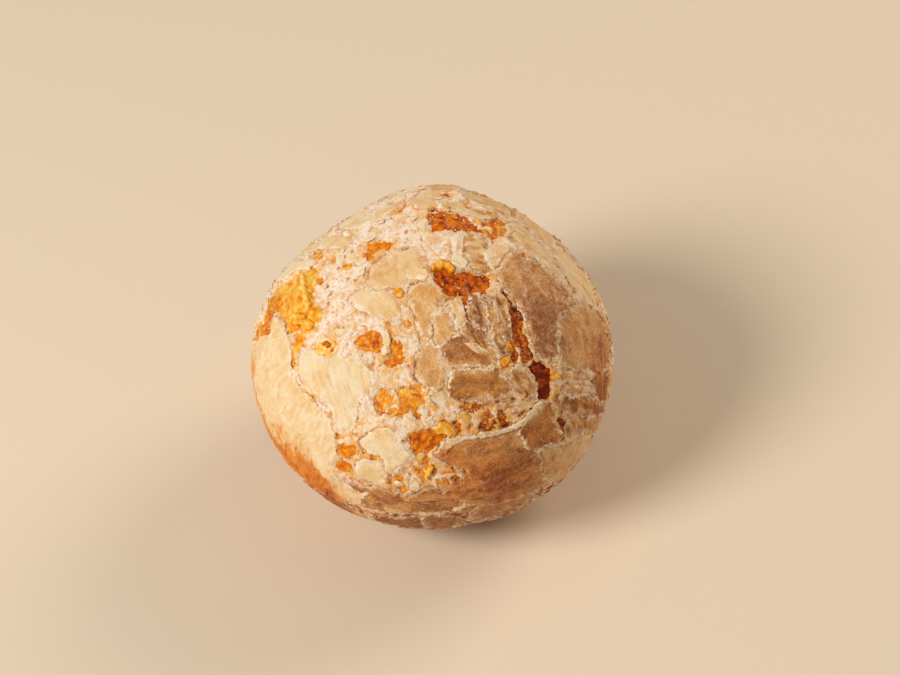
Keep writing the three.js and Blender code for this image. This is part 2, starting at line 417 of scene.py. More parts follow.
    # the net of small plates on the right cheek
    dict(brown=0.62, rise=0.4, streak=(1, 0.3), wrinkle=0.5, settle=0.85, dusty=0.5, outline=[
        (562, 368), (575, 371), (590, 374), (593, 380), (583, 383), (571, 382), (562, 379)]),
    dict(brown=0.6, rise=0.35, streak=(1, 0.1), wrinkle=0.5, settle=0.85, dusty=0.4, outline=[
        (566, 385), (578, 384), (591, 385), (595, 391), (587, 396), (573, 396), (563, 391)]),
    dict(brown=0.98, rise=0.5, streak=(0.2, 1), wrinkle=0.4, settle=0.6, dusty=0.2, outline=[
        (567, 400), (580, 397), (593, 398), (602, 403), (605, 412), (597, 418), (585, 416), (574, 414),
        (565, 408)]),
    dict(brown=0.92, rise=0.4, streak=(0.1, 1), wrinkle=0.4, settle=0.6, dusty=0.2, outline=[
        (597, 375), (609, 372), (610, 386), (608, 401), (601, 401), (596, 389)]),
    dict(brown=0.68, rise=0.35, streak=(0.3, 1), wrinkle=1.0, settle=0.85, dusty=0.5, outline=[
        (568, 416), (578, 417), (590, 420), (602, 420), (602, 428), (597, 434), (586, 434), (576, 437),
        (568, 441), (567, 432), (571, 424)]),
    # along the lower edge
    dict(brown=0.1, rise=0.6, streak=(0.2, 1), wrinkle=0.3, outline=[
        (409, 484), (413, 480), (419, 480), (420, 487), (416, 493), (410, 494)]),
    dict(brown=0.12, rise=0.5, streak=(0.4, 1), wrinkle=0.3, outline=[
        (437, 481), (446, 480), (451, 485), (448, 491), (439, 489)]),
]

# Pockets of toasted cheese. bake goes from 0, pale gold, through amber to 1, red-brown. sunk is
# how far a pocket lies back, dome how far a blister stands up, and crumbly how much crumb lies on
# it. Its folds are drawn out along streak by stretch, and where it is flowing they are wide swells.
POCKETS = [
    # under the crown
    dict(bake=0.74, streak=(1, 0.3), stretch=2.2, crumbly=0.25, outline=[
        (427, 213), (429, 206), (435, 203), (443, 207), (453, 209), (463, 212), (471, 217), (479, 222),
        (488, 228), (486, 232), (476, 231), (466, 229), (455, 229), (445, 227), (437, 228), (430, 223)]),
    dict(bake=0.5, streak=(1, 0.5), stretch=2.2, crumbly=0.4, outline=[
        (480, 221), (489, 217), (500, 216), (508, 221), (507, 231), (498, 237), (488, 234)]),
    # the deep one above the middle, its blister and its foot
    dict(bake=0.81, sunk=0.5, crumbly=0.15, outline=[
        (431, 266), (437, 261), (446, 261), (453, 267), (460, 269), (466, 266), (474, 270), (484, 272),
        (492, 276), (492, 285), (489, 294), (480, 295), (468, 296), (456, 295), (446, 295), (440, 287),
        (434, 279)]),
    dict(bake=0.3, sunk=-0.25, dome=0.5, outline=[
        (431, 265), (436, 261), (443, 259), (450, 262), (454, 268), (452, 271), (446, 266), (438, 267),
        (433, 268)]),
    dict(bake=0.76, sunk=0.35, outline=[
        (463, 293), (471, 294), (469, 305), (470, 315), (474, 323), (468, 320), (464, 309)]),
    # the long gap beside the big plate
    dict(bake=0.84, sunk=0.4, streak=(0.3, 1), stretch=1.6, crumbly=0.4, outline=[
        (503, 288), (512, 291), (519, 300), (525, 310), (527, 320), (528, 330), (533, 338), (535, 348),
        (536, 358), (527, 365), (515, 365), (511, 355), (509, 345), (509, 334), (506, 325), (508, 315),
        (505, 303)]),
    dict(bake=1.0, sunk=0.55, outline=[
        (530, 367), (538, 361), (547, 362), (554, 369), (556, 380), (557, 391), (551, 401), (542, 404),
        (538, 396), (538, 387), (534, 377)]),
    # the golden melt on the left cheek, its folded sheet, its tail and the streaks beside it
    dict(bake=0.24, sunk=0.2, streak=(0.3, 1), stretch=1.8, flowing=0.9, outline=[
        (268, 292), (276, 284), (288, 276), (299, 270), (309, 266), (316, 270), (313, 281), (310, 292),
        (311, 301), (318, 306), (319, 313), (315, 321), (310, 331), (303, 333), (296, 330), (290, 333),
        (284, 336), (282, 326), (275, 317), (268, 306)]),
    dict(bake=0.0, sunk=-0.15, dome=0.3, streak=(0.2, 1), outline=[
        (298, 272), (301, 272), (303, 281), (304, 291), (307, 300), (308, 308), (305, 309), (302, 301),
        (300, 291), (298, 281)]),
    dict(bake=0.5, sunk=0.5, streak=(0, 1), outline=[
        (304, 277), (311, 275), (312, 284), (309, 292), (311, 301), (308, 302), (305, 292)]),
    dict(bake=0.24, sunk=-0.1, dome=0.3, flowing=0.6, outline=[
        (287, 317), (293, 312), (301, 313), (304, 319), (298, 324), (290, 324)]),
    dict(bake=0.22, sunk=-0.05, dome=0.3, flowing=0.6, outline=[
        (299, 322), (307, 318), (312, 323), (308, 329), (300, 328)]),
    dict(bake=0.28, outline=[
        (293, 332), (303, 331), (302, 339), (297, 348), (293, 358), (291, 368), (287, 366), (288, 354),
        (290, 344)]),
    dict(bake=0.52, sunk=0.1, streak=(0.2, 1), stretch=2, outline=[
        (268, 296), (276, 292), (275, 300), (271, 309), (268, 320), (266, 332), (262, 333), (261, 322),
        (264, 307)]),
    dict(bake=0.5, sunk=0.1, outline=[
        (252, 338), (254, 327), (258, 320), (261, 328), (260, 337), (256, 341)]),
    dict(bake=0.5, crumbly=0.2, outline=[
        (363, 249), (366, 241), (374, 239), (384, 238), (393, 239), (391, 243), (386, 249), (381, 246),
        (374, 250), (371, 256), (366, 258), (359, 256)]),
    dict(bake=0.35, outline=[(312, 255), (314, 251), (319, 250), (321, 255), (317, 259)]),
    dict(bake=0.35, outline=[(327, 257), (331, 252), (335, 256), (333, 260), (328, 260)]),
    dict(bake=0.32, outline=[(337, 265), (343, 262), (348, 260), (350, 263), (345, 267)]),
    dict(bake=0.4, sunk=-0.1, dome=0.4, outline=[(315, 280), (319, 276), (321, 280), (318, 283)]),
    # the round one and the crescent beside it
    dict(bake=0.56, sunk=0.15, outline=[
        (353, 341), (358, 335), (364, 331), (372, 329), (380, 333), (383, 341), (381, 349), (374, 352),
        (364, 350), (356, 348)]),
    dict(bake=0.5, crumbly=0.15, outline=[
        (388, 327), (392, 336), (396, 343), (404, 341), (403, 349), (402, 355), (405, 358), (403, 364),
        (394, 367), (383, 366), (382, 362), (389, 357), (389, 347), (388, 336)]),
    # blisters and spots round them
    dict(bake=0.05, sunk=-0.05, dome=0.25, crumbly=0.3, outline=[
        (313, 348), (318, 342), (327, 339), (334, 343), (330, 349), (329, 355), (321, 356), (315, 354)]),
    dict(bake=0.66, sunk=-0.3, dome=0.3, outline=[(320, 344), (325, 341), (330, 344), (326, 348)]),
    dict(bake=0.28, sunk=-0.1, dome=0.4, outline=[
        (393, 290), (397, 287), (402, 289), (403, 294), (400, 297), (395, 295)]),
    dict(bake=0.45, outline=[(404, 321), (409, 319), (412, 323), (409, 327), (405, 325)]),
    dict(bake=0.3, outline=[(353, 308), (356, 304), (359, 307), (357, 311)]),
    dict(bake=0.35, outline=[(333, 328), (336, 325), (338, 328), (336, 331)]),
    dict(bake=0.3, outline=[(302, 396), (307, 391), (314, 395), (313, 401), (306, 401)]),
    dict(bake=0.4, outline=[(293, 387), (297, 384), (299, 387), (296, 390)]),
    dict(bake=0.3, outline=[(327, 419), (330, 415), (334, 417), (332, 421)]),
    dict(bake=0.35, outline=[(332, 438), (335, 434), (339, 437), (337, 442), (333, 442)]),
    dict(bake=0.35, outline=[(354, 421), (355, 415), (358, 418), (357, 425)]),
    dict(bake=0.35, outline=[(351, 434), (354, 433), (357, 437), (354, 439)]),
    dict(bake=0.35, outline=[(340, 407), (341, 403), (343, 404), (342, 409)]),
    # the crumbly melts below the middle
    dict(bake=0.42, crumbly=0.5, outline=[
        (373, 400), (378, 391), (389, 388), (398, 391), (407, 388), (418, 385), (427, 391), (430, 397),
        (425, 404), (419, 408), (417, 415), (408, 415), (398, 418), (388, 418), (379, 419), (373, 411)]),
    dict(bake=0.62, outline=[(413, 418), (419, 413), (424, 419), (418, 422)]),
    dict(bake=0.62, crumbly=0.15, streak=(0.7, -0.7), stretch=1.8, outline=[
        (409, 437), (416, 432), (426, 431), (436, 430), (446, 431), (455, 434), (450, 440), (443, 442),
        (440, 448), (433, 452), (423, 455), (415, 456), (410, 451), (408, 443)]),
    dict(bake=0.34, sunk=0.0, dome=0.25, crumbly=0.35, outline=[
        (433, 431), (437, 425), (444, 422), (451, 425), (456, 431), (458, 438), (450, 437), (443, 435),
        (437, 436)]),
    dict(bake=0.66, outline=[
        (450, 421), (459, 419), (462, 426), (464, 433), (460, 437), (456, 431)]),
    dict(bake=0.42, sunk=0.1, outline=[
        (335, 450), (341, 446), (349, 447), (354, 449), (353, 456), (348, 461), (341, 461), (336, 456)]),
    dict(bake=0.5, sunk=0.1, outline=[
        (331, 469), (336, 463), (344, 464), (350, 469), (352, 474), (345, 475), (337, 473)]),
    dict(bake=0.7, outline=[(326, 470), (329, 467), (331, 474), (330, 480), (326, 477)]),
    dict(bake=0.3, outline=[(369, 459), (374, 456), (380, 459), (379, 464), (373, 465)]),
    dict(bake=0.4, outline=[(360, 455), (362, 452), (365, 455), (363, 458)]),
    dict(bake=0.4, crumbly=0.3, outline=[
        (386, 480), (389, 474), (393, 478), (400, 479), (404, 483), (396, 486), (388, 485)]),
    dict(bake=0.38, outline=[(394, 492), (401, 490), (407, 492), (405, 497), (397, 498)]),
    dict(bake=0.5, crumbly=0.45, streak=(0.6, -0.8), stretch=2, outline=[
        (412, 470), (419, 464), (427, 459), (431, 463), (428, 469), (432, 474), (427, 481), (421, 486),
        (418, 478)]),
    dict(bake=0.15, sunk=-0.3, dome=0.4, streak=(0.4, -1), outline=[
        (425, 480), (426, 474), (431, 467), (434, 468), (430, 476), (428, 481)]),
    dict(bake=0.5, streak=(0.7, -0.7), outline=[(428, 477), (433, 471), (438, 472), (433, 478)]),
    dict(bake=0.5, outline=[
        (461, 469), (465, 465), (472, 467), (472, 472), (468, 478), (464, 475)]),
    dict(bake=0.6, crumbly=0.2, outline=[(451, 480), (456, 477), (463, 481), (461, 486), (454, 484)]),
    dict(bake=0.92, outline=[(451, 490), (458, 488), (465, 490), (462, 494), (455, 493)]),
    # the gaps over the long plate, and the small dark ones
    dict(bake=0.72, sunk=0.25, crumbly=0.8, outline=[
        (434, 405), (450, 403), (470, 403), (492, 403), (512, 405), (538, 400), (530, 411), (516, 424),
        (500, 430), (482, 434), (464, 436), (456, 428), (446, 420), (438, 413)]),
    dict(bake=0.8, sunk=0.35, crumbly=0.2, outline=[
        (476, 418), (482, 412), (492, 411), (498, 414), (497, 422), (499, 430), (490, 434), (481, 433),
        (478, 426)]),
    dict(bake=0.78, crumbly=0.15, outline=[
        (502, 413), (507, 415), (511, 421), (516, 425), (510, 429), (503, 431), (500, 424)]),
    dict(bake=0.85, outline=[
        (516, 419), (519, 413), (525, 409), (529, 411), (525, 416), (520, 420)]),
    dict(bake=0.8, outline=[(530, 409), (535, 405), (540, 403), (537, 409), (532, 412)]),
    dict(bake=0.92, sunk=0.4, outline=[
        (559, 420), (566, 419), (570, 425), (568, 433), (564, 436), (562, 429)]),
    dict(bake=0.75, outline=[(511, 398), (517, 396), (520, 402), (515, 405), (511, 403)]),
    dict(bake=0.8, crumbly=0.1, outline=[(497, 402), (503, 401), (501, 405), (497, 405)]),
    dict(bake=0.93, outline=[(449, 339), (453, 336), (458, 340), (457, 346), (453, 342)]),
    dict(bake=0.93, outline=[(455, 330), (461, 328), (462, 331), (457, 333)]),
    dict(bake=0.9, outline=[(419, 265), (423, 266), (427, 270), (422, 269)]),
    dict(bake=0.86, outline=[(482, 192), (492, 194), (502, 199), (508, 204), (498, 202), (489, 198)]),
    dict(bake=0.75, outline=[(440, 190), (448, 190), (454, 193), (446, 193)]),
    dict(bake=0.58, outline=[(394, 209), (400, 204), (405, 198), (406, 202), (400, 209)]),
    dict(bake=0.9, outline=[(532, 252), (537, 254), (541, 261), (537, 261), (533, 257)]),
    dict(bake=0.75, outline=[(551, 241), (554, 242), (557, 246), (553, 246)]),
    dict(bake=0.75, outline=[(580, 273), (582, 272), (583, 275), (581, 276)]),
    dict(bake=0.6, outline=[(582, 418), (585, 418), (585, 422), (582, 422)]),
    dict(bake=0.72, outline=[(513, 211), (517, 210), (519, 212), (515, 213)]),
    # nodules of melted cheese that stand up between the plates on the right
    dict(bake=0.4, sunk=-0.1, dome=0.25, streak=(0.3, 1), crumbly=0.3, outline=[
        (502, 360), (505, 357), (511, 357), (511, 362), (508, 367), (504, 367)]),
    dict(bake=0.18, sunk=-0.2, dome=0.4, outline=[(554, 378), (558, 374), (561, 376), (558, 380)]),
    dict(bake=0.3, sunk=-0.1, streak=(0.4, 1), crumbly=0.2, outline=[
        (505, 345), (510, 340), (513, 345), (516, 351), (513, 356), (508, 354)]),
]

HEART_GRID = 40  # lines of places, each way, that are tried for an outline's middle
STREAK_STEP = 4  # pixels from there in the direction of the streak, to find its way on the ball
EDGE_STEP = 0.25  # millimetres between places along an outline
FAR_STEP = 0.5  # the same on the sides away from the camera
CELLS = 190  # plates and pockets over the whole ball, if all were cells
CELL_STRAY = 0.5  # how far a middle strays from its even place, in cell widths
CELL_GAP = 0.3  # millimetres of crumb between a cell and its halfway line
CELL_MOST = 6.5  # the farthest that a cell reaches
CELL_UNEVEN = 11  # the most that weights make one cell larger than the next, in square millimetres
CELL_ROUNDING = 9  # how sharp the corners of a cell are
CELL_BEARINGS = 30
CELL_TRIES = np.linspace(0.2, 1, 13)  # shares of its reach at which a cell is tried for room
CELL_NEIGHBOURS = (0.5, 30)  # how near and how far the middles lie that bound a cell
CELL_LEAST = 0.15  # the least of the way to the next middle that a cell may take
ROOM_LEAST = -1.2  # a middle has no room if it is nearer than this to a shown patch
POCKET_SHARE = 0.13  # share of the cells that opened into a pocket
PLATE_SHARE = 0.77  # and of those that kept their skin; the rest is bare crumb
UNDERSIDE = -0.75  # how far a way points down where the skin is whole, on the base
LOW_ROW = 500  # pixels: cells seen lower in the picture than this count as hidden
FACING_LEAST = 0.1  # and so do those that face the camera less than this
BROAD_SIZE = 26  # millimetres across the paler and browner sides of the ball
CREAM_SIDE = np.array([-0.8, 0.5, 0.3])  # the way to the palest side
BEND = 0.28  # how roundly an edge takes its corners: 0 is straight from corner to corner
BEND_STEPS = 16  # places along it from one corner to the next
EDGE_LEAST = 12  # the fewest places in an edge
RAGGED_MOST = 0.3  # the most that a small patch's edge strays, over its reach
WAVER = ((2.8, 0.2), (1.0, 0.14))  # size and height of an edge's waves
NOTCHES = ((1.5, 0.6), (0.7, -0.45))  # and of its lobes with notches, or bays with points

random = np.random.default_rng(7)
LATTICE = random.permutation(256)
SLOPES = unit(random.normal(size=(256, 3)))
KIND_APART = 17.31  # how far apart two kinds of noise are taken from the lattice, in its cells
ROUGH_SCALE = 1.7  # what brings the noise to about -1 to 1


def slope_at(corner):
    """The random slope of a lattice's corner: its three whole numbers go one after another
    through the shuffled numbers, each added to what came out before."""
    draw = 0
    for side in range(3):
        draw = LATTICE[(draw + corner[..., side]) & 255]
    return SLOPES[draw]


def rough(places, size, kind=0):
    """Smooth lumpy noise of about -1 to 1, with lumps of that size. Each corner of a lattice has
    a random slope; the slopes' heights at the place are mixed by its S-shaped share of the cell."""
    scaled = places / size + KIND_APART * kind
    cell = np.floor(scaled).astype(int)
    inside = scaled - cell
    fade = inside**3 * (inside * (inside * 6 - 15) + 10)
    total = 0
    for corner in np.ndindex(2, 2, 2):
        share = np.prod(np.where(corner, fade, 1 - fade), axis=-1)
        total = total + share * np.sum(slope_at(cell + corner) * (inside - corner), axis=-1)
    return ROUGH_SCALE * total


def wander(places, size, kind):
    """Three kinds of that noise, from one kind on, as a way for each place to stray."""
    return np.stack([rough(places, size, kind + side) for side in range(3)], axis=-1)


def laid_flat(axes, ways):
    """Flat millimetres round a patch's middle: the angle from the middle times the ball's radius,
    in the direction in which the way leans."""
    along, across, out = axes @ ways.T
    lean = np.maximum(np.hypot(along, across), 1e-9)
    length = HALF_WIDTH * np.arctan2(lean, out) / lean
    return np.stack([along * length, across * length], axis=1)


def ways_over(axes, flat):
    """The way back: from flat millimetres round a patch's middle to ways from the ball's."""
    length = np.maximum(np.linalg.norm(flat, axis=-1, keepdims=True), 1e-9)
    angle = length / HALF_WIDTH
    return flat / length * np.sin(angle) @ axes[:2] + np.cos(angle) * axes[2]


def smooth_edge(corners, step):
    """A closed curve through the corners, in even steps. Between two corners it is the cubic
    whose slope at each corner is a share of the line between that corner's neighbours."""
    share = np.linspace(0, 1, BEND_STEPS, endpoint=False)[None, :, None]
    before, start, end, after = (np.roll(corners, by, axis=0)[:, None] for by in (1, 0, -1, -2))
    leaves, arrives = BEND * (end - before), BEND * (after - start)
    curve = start + share * leaves
    curve = curve + share**2 * (3 * (end - start) - 2 * leaves - arrives)
    curve = curve + share**3 * (2 * (start - end) + leaves + arrives)
    curve = curve.reshape(-1, 2)
    closed = np.concatenate([curve, curve[:1]])
    length = np.concatenate([[0], np.cumsum(np.linalg.norm(np.diff(closed, axis=0), axis=1))])
    steps = max(EDGE_LEAST, round(length[-1] / step))
    at = np.linspace(0, length[-1], steps, endpoint=False)
    return np.stack([np.interp(at, length, closed[:, side]) for side in (0, 1)], axis=1)


def patch_axes(middle, along):
    """A patch's three axes: along its skin, across it, and out."""
    across = unit(np.cross(middle, along))
    return np.stack([np.cross(across, middle), across, middle])


def area_of(outline):
    """The area inside a closed outline, less than 0 where it runs clockwise: half the sum of each
    corner's across times the next one's up, less the other way about."""
    x, y = outline.T
    return (x @ np.roll(y, -1) - y @ np.roll(x, -1)) / 2


def edge_normals(edge):
    """The unit ways outwards along a closed edge, square to the line between its neighbours."""
    ahead_of = np.roll(edge, -1, axis=0) - np.roll(edge, 1, axis=0)
    return unit(np.stack([ahead_of[:, 1], -ahead_of[:, 0]], axis=1))


def patch(middle, along, corners, step, ragged=1.0, grown=0.0, **facts):
    """A closed piece of the skin round a middle. Its corners, in flat millimetres, are joined by
    a smooth curve, which strays along its own normal by the notches' noise and is grown."""
    axes = patch_axes(middle, along)
    ragged = min(ragged, RAGGED_MOST * np.linalg.norm(corners, axis=1).max())
    edge = smooth_edge(corners if area_of(corners) > 0 else corners[::-1], step)
    places = ways_over(axes, edge) * HALF_WIDTH
    stray = sum(height * rough(places, size, 3) for size, height in WAVER)
    stray = stray + sum(height * (np.abs(rough(places, size, 4)) - 0.25) for size, height in NOTCHES)
    edge = edge + edge_normals(edge) * (grown + ragged * stray[:, None])
    reach = np.linalg.norm(edge, axis=1).max()
    return dict(axes=axes, edge=edge, reach=reach, **facts)


def heart_of(outline):
    """The place that sees the most of an outline's inside: of a grid of places, the one whose
    least distance inwards from the outline's straight sides is the greatest."""
    sides = np.roll(outline, -1, axis=0) - outline
    lines = np.linspace(outline.min(0), outline.max(0), HEART_GRID).T
    places = np.stack(np.meshgrid(*lines), axis=-1).reshape(-1, 1, 2)
    off = places - outline
    inwards = sides[:, 0] * off[..., 1] - sides[:, 1] * off[..., 0]
    inwards = inwards / np.linalg.norm(sides, axis=1)
    return places[np.argmax((inwards * np.sign(area_of(outline))).min(1)), 0]


def shown_patch(outline, streak=(1, 0), **facts):
    """A patch whose outline is given in pixels, laid flat round its own heart."""
    outline = np.array(outline, float)
    centre = heart_of(outline)
    middle, further = ways_seen_at(np.array([centre, centre + np.array(streak) * STREAK_STEP]))
    along = further - middle
    corners = laid_flat(patch_axes(middle, along), ways_seen_at(outline))
    return patch(middle, along, corners, EDGE_STEP, **facts)


def depth_inside(edge, places):
    """How deep flat places lie inside a closed edge: the distance to its nearest stretch, or
    minus that where a line from the place crosses the edge an even number of times."""
    start, end = edge, np.roll(edge, -1, axis=0)
    stretch = end - start
    from_start = places[:, None] - start
    share = np.sum(from_start * stretch, axis=2) / np.sum(stretch * stretch, axis=1)
    nearest = from_start - np.clip(share, 0, 1)[:, :, None] * stretch
    away = np.sqrt(np.min(np.sum(nearest * nearest, axis=2), axis=1))
    x, y = places[:, :1], places[:, 1:]
    spans = (start[:, 1] > y) != (end[:, 1] > y)
    rise = np.where(stretch[:, 1] == 0, 1e-12, stretch[:, 1])
    crossed = spans & (x < start[:, 0] + (y - start[:, 1]) * stretch[:, 0] / rise)
    return np.where(crossed.sum(axis=1) % 2 == 1, away, -away)


NOWHERE = -3.0  # depth given to places that are this far or farther outside every patch
AT_ONCE = 4_000_000  # the most pairs of a place and a stretch that are worked out together


def deepest(patches, ways):
    """For each way, how deep it lies in the patch that it lies deepest in, and that patch's
    number."""
    depth = np.full(len(ways), NOWHERE)
    number = np.full(len(ways), -1)
    for index, each in enumerate(patches):
        near = ways @ each["axes"][2] > math.cos((each["reach"] - NOWHERE) / HALF_WIDTH)
        near = np.nonzero(near)[0]
        for part in np.array_split(near, 1 + len(near) * len(each["edge"]) // AT_ONCE):
            inside = depth_inside(each["edge"], laid_flat(each["axes"], ways[part]))
            deeper = inside > depth[part]
            depth[part[deeper]] = inside[deeper]
            number[part[deeper]] = index
    return depth, number


# Each patch has its own wave, a number that shifts its noise against that of all the others.
plates = [
    shown_patch(wave=number, grown=0.1 + 0.12 * plate["brown"], **plate)
    for number, plate in enumerate(PLATES)
]
pockets = [
    shown_patch(wave=number, ragged=1.1, grown=0.2, **pocket)
    for number, pocket in enumerate(POCKETS)
]
shown_plates = len(plates)
shown = plates + pockets


def spread_ways(count, stray):
    """Ways spread evenly over the ball on a spiral from pole to pole, each nudged off its place."""
    number = np.arange(count)
    height = 1 - (2 * number + 1) / count
    turn = number * math.pi * (3 - math.sqrt(5))
    ring = np.sqrt(1 - height**2)
    ways = np.stack([ring * np.cos(turn), ring * np.sin(turn), height], axis=1)
    nudge = random.uniform(-1, 1, (count, 3)) * stray * math.sqrt(4 * math.pi / count)
    return unit(ways + nudge)


def cell_corners(axes, middles, weights, weight):
    """The corners of a cell: in each bearing, the distance at which the nearest of the lines
    between it and the other middles is met, as a soft least of them all. A line lies halfway,
    moved by the difference of the two weights over the distance. A shown patch cuts it short."""
    others = laid_flat(axes, middles)
    length = np.linalg.norm(others, axis=1)
    near = (length > CELL_NEIGHBOURS[0]) & (length < CELL_NEIGHBOURS[1])
    others, length, weights = others[near], length[near], weights[near]
    bearing = np.linspace(0, 2 * math.pi, CELL_BEARINGS, endpoint=False)
    outwards = np.stack([np.cos(bearing), np.sin(bearing)], axis=1)
    halfway = np.maximum((length**2 + weight - weights) / 2, CELL_LEAST * length**2)
    towards = outwards @ others.T / halfway
    towards = np.concatenate([towards, np.full((len(towards), 1), 1 / CELL_MOST)], axis=1)
    met = np.sum(np.maximum(towards, 1e-3) ** CELL_ROUNDING, axis=1) ** (-1 / CELL_ROUNDING)
    reach = (met - CELL_GAP)[:, None] * CELL_TRIES
    places = ways_over(axes, (outwards[:, None] * reach[:, :, None]).reshape(-1, 2))
    clear = deepest(shown, places)[0].reshape(reach.shape) < -CELL_GAP
    clear = np.cumprod(clear, axis=1)
    last = np.maximum(np.max(reach * clear, axis=1), CELL_TRIES[0] * reach[:, -1])
    return outwards * last[:, None]


towards_camera = unit(camera_place - BALL_MIDDLE)
cell_middles = spread_ways(CELLS, CELL_STRAY)
shown_middles = np.array([each["axes"][2] for each in shown])
taken = deepest(shown, cell_middles)[0] > ROOM_LEAST
turned_away = cell_middles @ towards_camera < FACING_LEAST
low_in_picture = picture_places(skin_places(cell_middles))[:, 1] > LOW_ROW
cell_middles = cell_middles[~taken & (turned_away | low_in_picture)]
all_middles = np.concatenate([cell_middles, shown_middles])
weights = random.uniform(-1, 1, len(cell_middles)) * CELL_UNEVEN
weights = np.concatenate([weights, np.zeros(len(shown_middles))])
for number, middle in enumerate(cell_middles):
    along = unit(np.cross(middle, random.normal(size=3)))
    axes = np.stack([along, np.cross(middle, along), middle])
    corners = cell_corners(axes, all_middles, weights, weights[number])
    draw, tone, size = random.uniform(size=3)
    underneath = smoothstep(-middle[2], 0.05, 0.6)
    side = 0.4 + 0.45 * rough(middle * HALF_WIDTH, BROAD_SIZE, 51) - 0.15 * middle @ CREAM_SIDE
    facts = dict(wave=number, step=FAR_STEP)
    if draw < POCKET_SHARE and middle[2] > UNDERSIDE:
        facts.update(bake=0.1 + 0.75 * tone, sunk=random.uniform(0.1, 0.5))
        pockets.append(patch(middle, along, corners * (0.5 + 0.3 * size), **facts))
    elif draw < POCKET_SHARE + PLATE_SHARE or middle[2] < UNDERSIDE:
        facts.update(
            brown=np.clip(side + 0.3 * (tone - 0.5) + 0.45 * underneath, 0.05, 1.3),
            rise=random.uniform(0.2, 1),
            wrinkle=random.uniform(0.15, 0.9),
            grown=random.uniform(-0.5, 0.7),
            settle=random.uniform(0.2, 1),
            dusty=random.uniform(0.2, 0.7),
        )
        plates.append(patch(middle, along, corners, **facts))

# ---------------------------------------------------------------------------------------------
# The crumb body. The whole ball is one mass of baked starch and cheese. Where the skin has
# split, its chalky broken crumb shows: rounded lumps, creases between them and small pits.
BODY_CELLS = 126  # squares along each edge of the net
NET_PULL = 0.3  # how much the net is drawn together towards the camera
POCKET_DROP = 0.95  # how far the crumb lies back inside a pocket
PLATE_DROP = 0.45  # how far it lies back under a plate
BANK_HEIGHT = 0.26  # how far it is banked up along the plates' edges
BANK_HALF = 0.45  # and how broadly
SWELL_SIZE, SWELL_KIND, SWELL_HEIGHT = 5, 9, 0.34  # the wide swells, which the plates follow
LUMP_SIZE, LUMP_HEIGHT = 1.7, 0.22
GRAIN_SIZE, GRAIN_HEIGHT = 0.8, 0.08
PIT_SIZE, PIT_DEPTH = 1.4, 0.4
LEFT_SIZE = 2.2  # the lumps that are left in a crumbly pocket


def cube_net(cells):
    """An even net over the ball: the squares of a cube's six sides, spaced by the tangent of an
    even angle and pushed out to the sphere. Returns the ways and the four corners of each square."""
    index = np.arange(cells + 1)
    first, second = np.meshgrid(index, index, indexing="ij")
    keys, squares = [], []
    for side in range(3):
        for end in (0, cells):
            place = np.empty((cells + 1, cells + 1, 3), int)
            place[..., side] = end
            place[..., (side + 1) % 3] = first
            place[..., (side + 2) % 3] = second
            keys.append(place @ [(cells + 1) ** 2, cells + 1, 1])
    keys = np.stack(keys)
    lattice, number = np.unique(keys, return_inverse=True)
    number = number.reshape(keys.shape)
    for side, net in enumerate(number):
        ring = [net[:-1, :-1], net[1:, :-1], net[1:, 1:], net[:-1, 1:]]
        squares.append(np.stack(ring if side % 2 else ring[::-1], axis=-1).reshape(-1, 4))
    steps = np.stack(np.unravel_index(lattice, (cells + 1,) * 3), axis=1)
    ways = unit(np.tan((steps / cells - 0.5) * math.pi / 2))
    return unit(ways + NET_PULL * towards_camera), np.concatenate(squares)


SPECKS_APART = 31.7  # how far apart two kinds of specks are taken from the lattice, in its cells


def nearest_speck(places, size, kind=0):
    """Distance to the nearest of loose specks, one at a random place in each cell of a lattice,
    in cell widths."""
    scaled = places / size + SPECKS_APART * kind
    cell = np.floor(scaled).astype(int)
    least = np.full(places.shape[:-1], np.inf)
    for corner in np.ndindex(3, 3, 3):
        at = cell + corner - 1
        speck = at + 0.5 + 0.5 * slope_at(at)
        least = np.minimum(least, np.linalg.norm(scaled - speck, axis=-1))
    return least


TOASTED = [  # where the oven browned the crumb too: bearing, rise, reach in degrees, and how much
    (-28, 18, 40, 0.38),
    (-62, -22, 34, 0.5),
    (-100, -28, 30, 0.4),
    (0, -90, 65, 0.8),
    (60, 0, 50, 0.3),
]
BROWNER = [  # the same for skin, but for the two bells low on the left, which are painted shade along that edge
    (-33, 40, 9, 0.42),
    (-70, -2, 15, 0.16),
    (-75, -40, 20, 0.3),
    (-82, 21, 7, -0.16),
    (-16, 13, 8, 0.2),
    (-93, 43, 5, 0.1),
    # painted shade along the lower left edge
    (-150, -14, 13, 0.12),
    (-128, -14, 12, 0.3),
]
GOLDEN = [  # skin rich in cheese; the three bells on the left also paint warm reflected light and shade along the lower left edge
    # these three are also painted warm reflected light and shade along the lower left edge
    (-160, -22, 23, 1.15),
    (-138, -11, 13, 1.2),
    (180, 0, 11, 0.7),
    (-88, 10, 12, 0.6),
    (-72, 0, 20, 0.75),
    (-18, 6, 14, 0.8),
]


def toasted_here(ways):
    """How browned the crumb is: by the oven, and beside a plate much as brown as the plate."""
    depth, number = deepest(plates, ways)
    beside = smoothstep(depth, -1.4, -0.1) * (number >= 0)
    brown = np.array([plate["brown"] for plate in plates])[number]
    share = 0.8 * beside
    return (1 - share) * bells(ways, TOASTED) + share * (brown + bells(ways, BROWNER))


